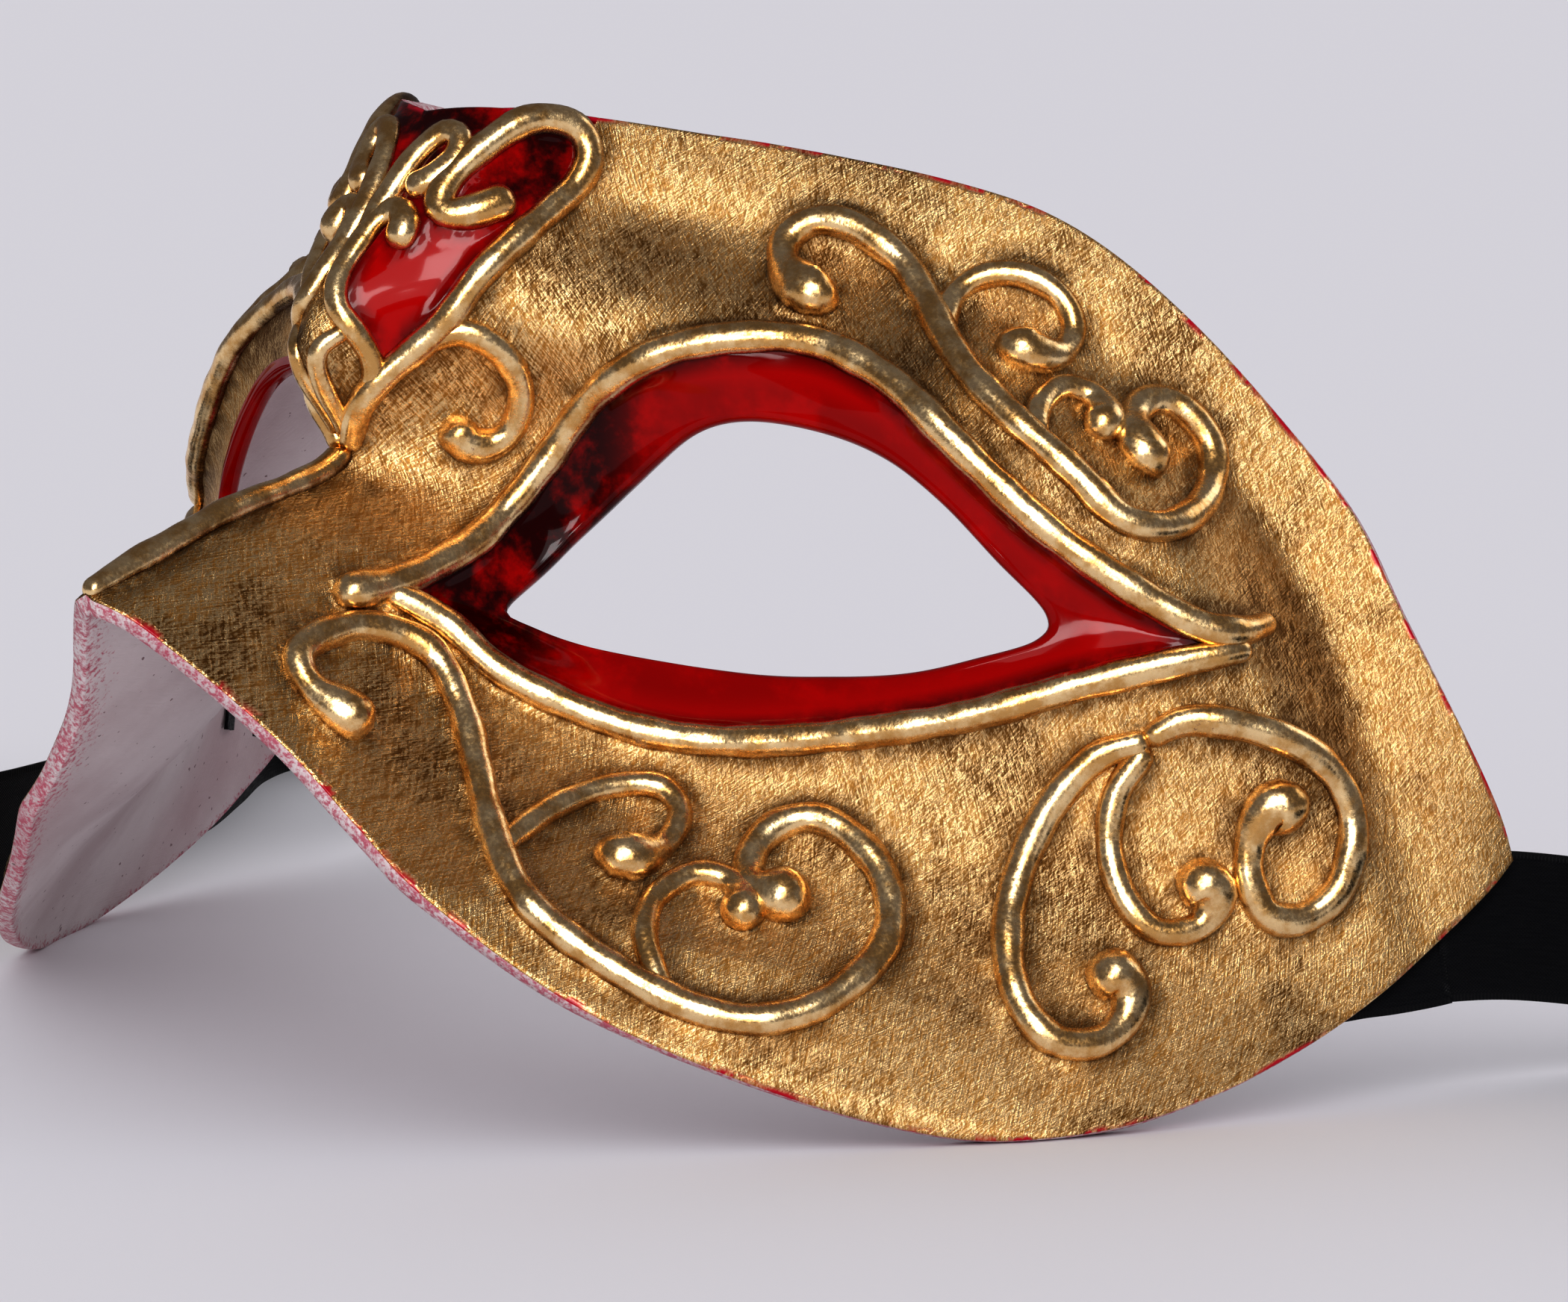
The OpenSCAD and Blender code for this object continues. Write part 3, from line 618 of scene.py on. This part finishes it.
@dataclass(frozen=True)
class BlackSatin:
    """The ribbon: black satin with fine lengthwise floats and a corded selvedge along each edge."""

    warp: Colour = (0.003, 0.003, 0.004, 1)
    float_thread: Colour = (0.010, 0.010, 0.012, 1)

    def material(self) -> bpy.types.Material:
        """Build the finish. The UV map runs in millimetres along and across the ribbon."""
        g = Graph("black_satin")
        lie = g.lie()
        split = g.node("ShaderNodeSeparateXYZ", Vector=lie)
        length, across = split.outputs[0], split.outputs[1]
        ribs = g.math("SINE", g.math("MULTIPLY", length, 2 * math.pi / 0.42))
        threads = g.math("SINE", g.math("MULTIPLY", across, 2 * math.pi / 0.34))
        weave = g.math("ADD", g.math("MULTIPLY", g.math("MULTIPLY", ribs, threads), 0.5), 0.5)
        slub = g.grain(g.stretched(lie, (0.25, 3.0, 1)), 1.4, 3)
        selvedge = g.spread(g.math("ABSOLUTE", across), 6.55, 6.9)
        height = g.between(selvedge, g.math("MULTIPLY", weave, 0.6), g.math("ADD", g.math("MULTIPLY", ribs, 0.3), 0.9))
        g.set(Base_Color=g.blend(g.math("MULTIPLY", weave, slub), self.warp, self.float_thread))
        g.set(Roughness=g.spread(slub, 0.3, 0.7, 0.34, 0.52), Normal=g.bump(height, 0.00010, 0.8))
        g.set(Sheen_Weight=0.03, Sheen_Roughness=0.4, Anisotropic=0.4, Specular_IOR_Level=0.10)
        return g.material


@dataclass(frozen=True)
class Sweep:
    """The surface that the mask rests on."""

    tint: Colour = (0.80, 0.79, 0.83, 1)

    def material(self) -> bpy.types.Material:
        """Build the finish."""
        g = Graph("pale_board")
        g.set(Base_Color=self.tint, Roughness=0.75, Specular_IOR_Level=0.2)
        return g.material


# ---------------------------------------------------------------- the mask


@dataclass
class Shell:
    """The moulded paper shell as one closed piece: gilded and lacquered front, raw paper on the rim and inside."""

    form: ShellForm
    columns: int = 300
    band_rows: int = 16
    face_rows: int = 88
    rim_rows: int = 5
    back_rows: int = 40
    eye_wall_rows: int = 3
    edge_reach: float = 12.0
    crease_reach: float = 2.4
    rim_bulge: float = 0.3
    eye_bulge: float = 0.5

    def outline(self) -> tuple[Array, Array]:
        """The half mask's edge, once round from the centre line.

        Returns:
            The edge's points on the shell, and whether each lies on the centre line.
        """
        parts = [
            (np.array([[0.0, 0.0], [0.0, -21.0]]), True),
            (curve(LOWER_EDGE, 0.5), False),
            (curve(TOP_EDGE, 0.5), False),
            (np.array([[0.0, 36.0], [0.0, 0.0]]), True),
        ]
        lengths = [run_lengths(p)[-1] for p, _ in parts]
        points, seam = [], []
        for (p, on_seam), length in zip(parts, lengths):
            count = max(2, round(self.columns * length / sum(lengths)))
            points.append(along(p, np.arange(count) / count * length))
            seam += [on_seam] * count
        seam_flags = np.array(seam)
        first_off = int(np.argmax(~seam_flags))
        seam_flags[first_off] = True
        return np.vstack(points), seam_flags

    def rays(self) -> tuple[Array, Array, Array, Array, Array]:
        """Directions from the eye's centre and how far the eye's edge, the cord and the mask's edge lie on each."""
        edge, seam = self.outline()
        d = edge - EYE_CENTRE
        heading = np.degrees(np.arctan2(d[:, 1], d[:, 0]))
        heading[0] = -180.0

        def reach(line: Array) -> Array:
            p = line - EYE_CENTRE
            a = np.degrees(np.arctan2(p[:, 1], p[:, 0]))
            a[0], a[-1] = -180.0, 180.0
            return np.interp(heading, a, np.linalg.norm(p, axis=1))

        far = np.linalg.norm(d, axis=1)
        eye = reach(closed_curve(EYE_EDGE, 0.5))
        cord = np.minimum(reach(closed_curve(CORD_LOOP, 0.5)), far - 1.0)
        return np.radians(heading), eye, cord, far, seam

    def build(self, lines: Array, radii: Array) -> bpy.types.Object:
        """Make the shell.

        Args:
            lines: points along every raised cord of one half, in upright millimetres.
            radii: the cord's radius at each of them.

        Returns:
            The finished piece.
        """
        form = self.form
        heading, eye, cord, far, seam = self.rays()
        way = np.stack([np.cos(heading), np.sin(heading)], axis=1)
        front_t = np.concatenate([
            np.linspace(0, 1, self.band_rows, endpoint=False), np.linspace(1, 2, self.face_rows + 1)])
        back_t = np.linspace(2, 0, self.back_rows + 1)

        def spot(t: Array) -> Array:
            r = np.where(t[:, None] < 1, eye + (cord - eye) * t[:, None], cord + (far - cord) * (t[:, None] - 1))
            q = EYE_CENTRE + r[..., None] * way
            q[..., 0] = np.where((t[:, None] >= 2) & seam, 0.0, q[..., 0])
            return q

        qf, qb = spot(front_t), spot(back_t)
        lift, crease = self.relief(qf, lines, radii)
        dip_f = form.band_dip * (1 - smooth(front_t))[:, None]
        dip_b = form.band_dip * (1 - smooth(back_t))[:, None]
        front = form.face(qf) + (lift - dip_f)[..., None] * form.outward(qf, 1.0)
        back = form.face(qb) - (form.wall + dip_b)[..., None] * form.outward(qb, 3.0)
        for skin, q in ((front, qf), (back, qb)):
            skin[..., 0] = np.where(q[..., 0] == 0.0, 0.0, np.maximum(skin[..., 0], 0.04))
        rim = self.rounded(front[-1], back[0], unit(front[-1] - front[-4]), self.rim_rows, self.rim_bulge)
        eye_wall = self.rounded(back[-1], front[0], unit(front[0] - front[3]), self.eye_wall_rows, self.eye_bulge)
        rows = np.concatenate([front, rim, back, eye_wall, front[:1]])
        uv = np.concatenate([
            qf, np.repeat(qf[-1:], self.rim_rows, 0), qb, np.repeat(qf[:1], self.eye_wall_rows + 1, 0)]) / 100
        rows, uv = (np.concatenate([a, a[:, :1]], axis=1) for a in (rows, uv))
        shell = laid_grid("mask_shell", form.seat(rows), uv)
        self.keep_marks(shell, uv * 100, len(front_t), crease)
        self.paint_faces(shell, len(front_t), len(back_t) + self.rim_rows)
        self.join_halves(shell)
        self.gild_right_band(shell)
        LOG.info("mask_shell: %d faces", len(shell.data.polygons))
        return shell

    def relief(self, q: Array, lines: Array, radii: Array) -> tuple[Array, Array]:
        """How far the front stands out at q in millimetres, and how near q is to a cord, from 0 to 1 at its foot."""
        tree = nearest_tree(lines)
        p = self.form.face(q).reshape(-1, 3)
        gap = np.empty(len(p))
        wave = np.empty(len(p))
        for i, place in enumerate(p):
            _, nearest, distance = tree.find(place)
            gap[i] = distance - radii[nearest]
            wave[i] = noise.noise(Vector(place) / 11.0) + 0.4 * noise.noise(Vector(place) / 4.5)
        gap, wave = gap.reshape(q.shape[:2]), wave.reshape(q.shape[:2])
        fillet = 0.3 * np.exp(-((np.maximum(gap, 0) / 0.55) ** 2))
        clear = smooth(np.abs(q[..., 0]) / 4.0)
        return fillet + 0.13 * wave * clear, np.clip(1.0 - gap / self.crease_reach, 0.0, 1.0)

    def rounded(self, start: Array, end: Array, out: Array, rows: int, bulge: float) -> Array:
        """Rows that carry an edge round from one skin to the other.

        They stand out towards out by bulge, as a share of half the wall.
        """
        t = (np.arange(1, rows + 1) / (rows + 1))[:, None, None]
        ease = (1 - np.cos(np.pi * t)) / 2
        stand = bulge * self.form.wall / 2 * np.sin(np.pi * t)
        made = start + (end - start) * ease + stand * out
        flat = (start[:, 0] == 0.0) & (end[:, 0] == 0.0)
        made[:, flat] = (start + (end - start) * ease)[:, flat]
        return made

    def keep_marks(self, shell: bpy.types.Object, q: Array, front_rows: int, crease: Array) -> None:
        """Keep on the mesh what its finishes read: the lacquer, its painted shade with antique wash, the creases and
        the edges.
        """
        shape = q.shape[:2]
        flat = q.reshape(-1, 2)
        loop = inside_distance(flat, closed_curve(CORD_LOOP, 1.0)[:-1]).reshape(shape)
        panel = inside_distance(flat, closed_curve(BROW_PANEL, 1.0)[:-1]).reshape(shape)
        edge_line = np.vstack([curve(LOWER_EDGE, 1.0), curve(TOP_EDGE, 1.0)])
        tree = nearest_tree(np.pad(edge_line, ((0, 0), (0, 1))))
        edge = np.array([tree.find((a, b, 0.0))[2] for a, b in flat]).reshape(shape)
        crease_all = np.zeros(shape)
        crease_all[:front_rows, :-1] = crease
        crease_all[:front_rows, -1] = crease[:, 0]
        lacquer = np.clip(0.5 + np.maximum(loop, panel) / 1.2, 0.0, 1.0)
        # Painted shade with antique wash on the lacquer: darker towards the eye opening, at the cords' feet, on the
        # nose side, just inside the upper cord and high on the brow panel.
        opening = smooth((loop - 1.6) / 4.0) * (loop > 0)
        store_grid(shell, "lacquer", lacquer)
        inner = smooth((30 - q[..., 0]) / 12) * (loop > 0)
        upper = 0.8 * smooth((q[..., 1] - 2) / 6) * smooth((3.4 - loop) / 2.4) * (loop > 0)
        curls = 1.2 * smooth((q[..., 1] - 24) / 5) * (panel > 0)
        shade = np.maximum.reduce([0.35 * opening, 1.15 * crease_all - 0.35, inner, upper, curls])
        store_grid(shell, "antique", np.clip(shade, 0.0, 1.0))
        gilt = inside_distance(flat, closed_curve(GILDED_BAND, 1.0)[:-1]).reshape(shape)
        clear_of_eye = smooth((self.hole_distance(flat).reshape(shape) - 0.5) / 0.7)
        store_grid(shell, "gilt_right", smooth(gilt / 1.5) * clear_of_eye)
        store_grid(shell, "crease", crease_all)
        store_grid(shell, "edge", np.clip(edge / self.edge_reach, 0.0, 1.0))

    def hole_distance(self, q: Array) -> Array:
        """How far outside the eye opening each place lies."""
        return -inside_distance(q, closed_curve(EYE_EDGE, 1.0)[:-1])

    def gild_right_band(self, shell: bpy.types.Object) -> None:
        """Leave only a line of lacquer round the top of the wearer's right eye opening."""
        across = np.array([v.co.x for v in shell.data.vertices])
        kept = fetch(shell, "lacquer") * (1 - fetch(shell, "gilt_right") * (across < 0))
        shell.data.attributes["lacquer"].data.foreach_set("value", kept.astype(np.float32))
        shell.data.attributes.remove(shell.data.attributes["gilt_right"])

    def paint_faces(self, shell: bpy.types.Object, front_rows: int, back_rows: int) -> None:
        """Give the front the gilded finish, and the rim and the inside the raw paper."""
        mesh = shell.data
        mesh.materials.append(GildedPaper().material())
        mesh.materials.append(RawPaper().material())
        row = fetch(shell, "grid_row").astype(int)
        for face in mesh.polygons:
            lowest = min(row[v] for v in face.vertices)
            face.material_index = int(front_rows <= lowest < front_rows + back_rows - 1)

    def join_halves(self, shell: bpy.types.Object) -> None:
        """Close the half up, open it along the centre line and mirror it."""
        forget_grid(shell)
        only(shell)
        bpy.ops.object.mode_set(mode="EDIT")
        bpy.ops.mesh.select_all(action="SELECT")
        bpy.ops.mesh.remove_doubles(threshold=MEETING)
        bpy.ops.mesh.select_all(action="DESELECT")
        bpy.ops.object.mode_set(mode="OBJECT")
        on_seam = [abs(v.co.x) < 1e-7 for v in shell.data.vertices]
        for face in shell.data.polygons:
            face.select = all(on_seam[v] for v in face.vertices)
        bpy.ops.object.mode_set(mode="EDIT")
        bpy.ops.mesh.select_mode(type="FACE")
        bpy.ops.mesh.delete(type="FACE")
        bpy.ops.object.mode_set(mode="OBJECT")
        mirror = shell.modifiers.new("halves", "MIRROR")
        mirror.merge_threshold = 1e-6
        bpy.ops.object.modifier_apply(modifier="halves")
        bpy.ops.object.mode_set(mode="EDIT")
        bpy.ops.mesh.select_mode(type="VERT")
        bpy.ops.mesh.select_all(action="SELECT")
        bpy.ops.mesh.delete_loose(use_verts=True, use_edges=True, use_faces=False)
        bpy.ops.mesh.select_all(action="SELECT")
        bpy.ops.mesh.normals_make_consistent(inside=False)
        bpy.ops.object.mode_set(mode="OBJECT")
        bpy.ops.object.shade_smooth()


@dataclass
class Scrollwork:
    """Every raised cord on the shell's front, each half sunk in it."""

    form: ShellForm
    stand_out: float = 0.3
    swell: float = 5.5
    ring_step: float = 0.6
    sides: int = 18

    def stations(self, cord: CordLine) -> tuple[Array, Array, Array]:
        """A cord's places on the shell, its radius at each with rounded ends, and its distance along at each."""
        path = curve(cord.line, 0.4)
        run = run_lengths(self.form.face(path))
        start, middle, end = cord.radii
        total = run[-1]
        ends = np.array([0.0, 0.03, 0.1, 0.22, 0.4, 0.65])
        body = np.linspace(start, total - end, max(4, round((total - start - end) / self.ring_step)))
        s = np.concatenate([ends * start, body, (total - ends * end)[::-1]])
        r = middle + (start - middle) * (1 - smooth((s - start) / self.swell)) + (end - middle) * (
            1 - smooth((total - end - s) / self.swell))
        left = np.minimum(s / start, (total - s) / end)
        r = r * np.sqrt(1 - (1 - np.clip(left, 0, 1)) ** 2)
        q = np.stack([np.interp(s, run, path[:, k]) for k in (0, 1)], axis=1)
        return q, r, s

    def centre_points(self) -> tuple[Array, Array]:
        """Points along all the cords of one half, with the cord's radius at each, for the shell's relief."""
        points, radii = [], []
        for cord in [NOSE_RIDGE, *PAIRED_CORDS]:
            q, r, _ = self.stations(cord)
            points.append(self.form.face(q))
            radii.append(r)
        return np.vstack(points), np.concatenate(radii)

    def build(self, cord: CordLine, name: str, side: Side) -> bpy.types.Object:
        """Make one cord, on one side of the mask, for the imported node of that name."""
        form = self.form
        q, r, s = self.stations(cord)
        phase = (sum(map(ord, name)) % 97) / 97 * 2 * math.pi
        uneven = 1 + 0.035 * np.sin(s / 1.9 + phase) + 0.03 * np.sin(s / 0.83 + 2.1 * phase)
        n = form.outward(q, 1.0)
        line = form.face(q)
        ahead = unit(np.gradient(line, axis=0))
        across = unit(np.cross(ahead, n))
        up = np.cross(across, ahead)
        size = (r * uneven)[:, None, None]
        turn = np.linspace(0, 2 * math.pi, self.sides + 1)[None, :, None]
        middle = line + (self.stand_out * r)[:, None] * n
        places = middle[:, None] + size * (np.cos(turn) * across[:, None] * 1.04 + np.sin(turn) * up[:, None] * 0.97)
        if side is Side.RIGHT:
            places[..., 0] *= -1
        uv = np.stack(np.broadcast_arrays(turn[..., 0] / 10, (s / 100)[:, None]), axis=-1)
        made = laid_grid("cord_" + name, form.seat(places), uv)
        # How high round the cord each vertex sits, from which the finish paints shade at its foot.
        rise = np.broadcast_to(0.5 + 0.5 * np.sin(turn[..., 0]), places.shape[:2])
        store_grid(made, "rise", rise)
        close_up(made)
        return made


@dataclass
class Ribbon:
    """One satin tie: the end glued inside a temple, the free stretch on its edge, and the rest wound up."""

    form: ShellForm
    side: Side
    tab: Line
    route: Line
    coil_middle: tuple[float, float]
    coil_turns: float
    width: float = 15.0
    thickness: float = 0.45
    coil_outer: float = 35.5
    coil_pitch: float = 5.9

    def coil(self) -> Array:
        """The wound part's line: turns that draw in evenly, from where the free stretch reaches them."""
        start = np.array(self.route[-1][:2]) - np.array(self.coil_middle)
        first = math.atan2(start[1], start[0])
        a = np.arange(0, self.coil_turns * 2 * math.pi, math.radians(7))
        r = np.minimum(np.linalg.norm(start), self.coil_outer) - self.coil_pitch * a / (2 * math.pi)
        x, y = self.coil_middle
        return np.stack([x + r * np.cos(first - a), y + r * np.sin(first - a), np.full(len(a), self.width / 2)], 1)

    def strip(self, name: str, middle: Array, across: Array, thin: Array) -> bpy.types.Object:
        """A flat strip with thicker edges.

        Args:
            name: the piece's name.
            middle: the line that it follows, in metres.
            across: the direction of its width at each point.
            thin: the direction of its thickness at each point.

        Returns:
            The closed strip.
        """
        w, t = self.width / 2 * MM, self.thickness / 2 * MM
        half = 12
        x = np.concatenate([np.linspace(-1, 1, half + 1), np.linspace(1, -1, half + 1), [-1.0]])
        top = np.concatenate([np.ones(half + 1), -np.ones(half + 1), [1.0]])
        ridge = np.where(np.abs(x) > 0.9, 1.0, 0.72)
        run = run_lengths(middle)
        places = (
            middle[:, None] + (w * x)[None, :, None] * across[:, None]
            + (t * top * ridge)[None, :, None] * thin[:, None]
        )
        caps = [np.repeat(middle[i][None, None], places.shape[1], axis=1) for i in (0, -1)]
        places = np.concatenate([caps[0], places, caps[1]])
        run = np.concatenate([run[:1], run, run[-1:]])
        uv = np.stack(np.broadcast_arrays((run / MM)[:, None], (x * self.width / 2)[None]), axis=-1)
        made = laid_grid(name, places, uv)
        close_up(made)
        return made

    def build_tab(self) -> bpy.types.Object:
        """Make the glued end, lying on the inner wall."""
        form = self.form
        q = along(curve(self.tab, 1.0), np.linspace(0, run_lengths(curve(self.tab, 1.0))[-1], 26))
        n = form.outward(q, 3.0)
        p = form.face(q) - (form.wall + self.thickness / 2 + 0.05) * n
        ahead = unit(np.gradient(p, axis=0))
        across = unit(np.cross(ahead, n))
        p, turned = form.seat(p), form.seat(p + across) - form.seat(p)
        out = form.seat(form.face(q)) - form.seat(form.face(q) - n)
        flip = np.array([float(self.side.value), 1.0, 1.0])
        return self.strip(f"tie_tab_{self.side.name.lower()}", p * flip, unit(turned * flip), unit(out * flip))

    def build_tie(self) -> tuple[bpy.types.Object, Array]:
        """Make the free stretch and the wound part as one strip.

        Returns:
            The piece, and the line that it follows, in metres.
        """
        free = curve(self.route, 1.5)[:-1]
        line = np.vstack([free, self.coil()]) * MM
        line = along(line, np.linspace(0, run_lengths(line)[-1], round(run_lengths(line)[-1] / (1.6 * MM))))
        ahead = unit(np.gradient(line, axis=0))
        across = np.tile([0.0, 0.0, 1.0], (len(line), 1))
        thin = unit(np.cross(ahead, across))
        return self.strip(f"tie_{self.side.name.lower()}", line, across, thin), line


TAB_LEFT = [(97, -27), (107, -23), (116, -19.4)]
TAB_RIGHT = [(96, -14.5), (106, -13.4), (117, -12.4)]
RIBBON_LEFT = [
    (85, 47.5, 16), (87.4, 56, 15.4), (92, 67, 13.4), (99.5, 79, 10.6), (109.5, 89, 8.4),
    (121.5, 96.4, 7.6), (135, 100.6, 7.5), (153, 101.5, 7.5),
]  # fmt: skip
RIBBON_RIGHT = [
    (-85.8, 50, 22.8), (-88.6, 61, 21), (-92.6, 74, 18), (-97.6, 88, 14.5), (-104, 100, 11),
    (-112.5, 107.5, 8.6), (-123, 110, 7.6), (-132.5, 106.5, 7.5), (-137, 97.5, 7.5), (-133, 87, 7.5),
    (-123, 74, 7.5), (-111.5, 58.5, 7.5), (-105, 46, 7.5), (-99.5, 33, 7.5), (-95, 20, 7.5), (-92.5, 8, 7.5),
    (-94, -5, 7.5), (-101, -17, 7.5), (-112, -24.4, 7.5), (-125, -27.9, 7.5), (-138, -28.4, 7.5),
    (-156, -27.5, 7.5),
]  # fmt: skip


@dataclass
class Mask:
    """The whole mask on its frame."""

    form: ShellForm = field(default_factory=ShellForm)

    def dress(self, obj: bpy.types.Object, nodes: Sequence[str]) -> None:
        """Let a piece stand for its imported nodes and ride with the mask."""
        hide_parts(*nodes)
        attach(obj, "root")

    def build(self) -> None:
        """Build every piece."""
        self.form.settle(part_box("shell"))
        scrolls = Scrollwork(self.form)
        shell = Shell(self.form).build(*scrolls.centre_points())
        self.dress(shell, ["shell"])
        self.build_scrolls(scrolls)
        self.build_ribbons()

    def build_scrolls(self, scrolls: Scrollwork) -> None:
        """Build the raised cords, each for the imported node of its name."""
        gold = GildedCord().material()
        jobs = [(NOSE_RIDGE, "nose_ridge", Side.LEFT)]
        jobs += [(cord, f"{cord.name}_{side.name.lower()}", side) for cord in PAIRED_CORDS for side in Side]
        for cord, node, side in jobs:
            made = scrolls.build(cord, node, side)
            made.data.materials.append(gold)
            self.dress(made, [node])
        LOG.info("scrollwork: %d cords", len(jobs))

    def build_ribbons(self) -> None:
        """Build the two satin ties."""
        satin = BlackSatin().material()
        ties = [
            Ribbon(self.form, Side.LEFT, TAB_LEFT, RIBBON_LEFT, (153, 66), 3.05),
            Ribbon(self.form, Side.RIGHT, TAB_RIGHT, RIBBON_RIGHT, (-156, 8), 1.75),
        ]
        for tie in ties:
            side = tie.side.name.lower()
            tab = tie.build_tab()
            tab.data.materials.append(satin)
            self.dress(tab, [f"ribbon_tab_{side}"])
            free, line = tie.build_tie()
            free.data.materials.append(satin)
            self.dress(free, [f"ribbon_{side}", f"ribbon_coil_{side}"])
            LOG.info("tie_%s: %.0f mm long", side, run_lengths(line)[-1] / MM)


# ---------------------------------------------------------------- the studio


@dataclass
class Studio:
    """A pale board, soft lamps and the camera.

    Each lamp is a name, its degrees round from the front and up, its distance, its size and its power.
    """

    look_at: tuple[float, float, float] = (0.0341, 0.0071, 0.0427)
    azimuth: float = 44.07
    elevation: float = 8.65
    distance: float = 0.700
    lens: float = 162.2
    sky: Colour = (0.17, 0.165, 0.18, 1)
    board_size: float = 14.0
    ceiling_energy: float = 2.3
    ceiling_angle: float = 150.0
    contrast: float = 0.78
    lamps: Sequence[tuple[str, float, float, float, float, float]] = (
        ("key_panel", 47, 29, 1.15, 0.80, 4.6),
        ("key_core", 48, 36, 1.10, 0.34, 4.6),
        ("low_panel", 32, 14, 1.05, 0.24, 2.4),
        ("back_panel", 160, 32, 1.20, 0.60, 1.6),
    )

    def build(self) -> None:
        """Set up the board, the light and the camera."""
        board = self.build_board()
        self.build_sky()
        for lamp in self.lamps:
            self.lamp(*lamp)
        self.light_board(board)
        self.spare(board)
        self.build_camera()
        bpy.context.scene.view_settings.view_transform = "Standard"
        bpy.context.scene.view_settings.gamma = self.contrast

    def build_board(self) -> bpy.types.Object:
        """Lay the board."""
        bpy.ops.object.select_all(action="DESELECT")
        bpy.ops.mesh.primitive_plane_add(size=self.board_size)
        board = bpy.context.object
        board.name = "board"
        board.data.materials.append(Sweep().material())
        return board

    def build_sky(self) -> None:
        """A dim, even room."""
        world = bpy.data.worlds.new("studio")
        bpy.context.scene.world = world
        world.use_nodes = True
        world.node_tree.nodes["Background"].inputs[0].default_value = self.sky

    def lamp(self, name: str, azimuth: float, elevation: float, reach: float, size: float, power: float) -> None:
        """Hang a square soft lamp that faces the mask, in the given direction and distance from it."""
        light = bpy.data.lights.new(name, "AREA")
        light.size = size
        light.energy = power
        self.hang(name, light, self.way(azimuth, elevation) * reach)

    def light_board(self, board: bpy.types.Object) -> None:
        """Light the board alone from straight above, as if from a wide ceiling."""
        light = bpy.data.lights.new("ceiling", "SUN")
        light.energy = self.ceiling_energy
        light.angle = math.radians(self.ceiling_angle)
        holder = self.hang("ceiling", light, Vector((0.0, 0.0, 2.0)))
        lit = bpy.data.collections.new("lit_by_ceiling")
        lit.objects.link(board)
        holder.light_linking.receiver_collection = lit

    def spare(self, board: bpy.types.Object) -> None:
        """Keep the soft lamps off the board."""
        others = bpy.data.collections.new("lit_by_lamps")
        others.objects.link(board)
        others.collection_objects[0].light_linking.link_state = "EXCLUDE"
        for holder in bpy.context.scene.objects:
            if holder.type == "LIGHT" and holder.data.type == "AREA":
                holder.light_linking.receiver_collection = others

    def hang(self, name: str, light: bpy.types.Light, offset: Vector) -> bpy.types.Object:
        """Place a light at an offset from the mask, facing it."""
        holder = bpy.data.objects.new(name, light)
        bpy.context.scene.collection.objects.link(holder)
        holder.location = Vector(self.look_at) + offset
        holder.rotation_euler = (-offset).to_track_quat("-Z", "Y").to_euler()
        return holder

    def way(self, azimuth: float, elevation: float) -> Vector:
        """Direction from the mask, by degrees round from the front towards +X and degrees up."""
        a, e = math.radians(azimuth), math.radians(elevation)
        return Vector((math.sin(a) * math.cos(e), -math.cos(a) * math.cos(e), math.sin(e)))

    def build_camera(self) -> None:
        """Place the camera."""
        back = self.way(self.azimuth, self.elevation)
        data = bpy.data.cameras.new("camera")
        data.lens = self.lens
        data.sensor_width = 36.0
        camera = bpy.data.objects.new("camera", data)
        bpy.context.scene.collection.objects.link(camera)
        camera.location = Vector(self.look_at) + back * self.distance
        camera.rotation_euler = (-back).to_track_quat("-Z", "Y").to_euler()
        bpy.context.scene.camera = camera


def main() -> None:
    """Build the mask and its studio."""
    logging.basicConfig(level=logging.INFO, format="%(name)s: %(message)s")
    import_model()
    Mask().build()
    Studio().build()


if __name__ == "__main__":
    main()
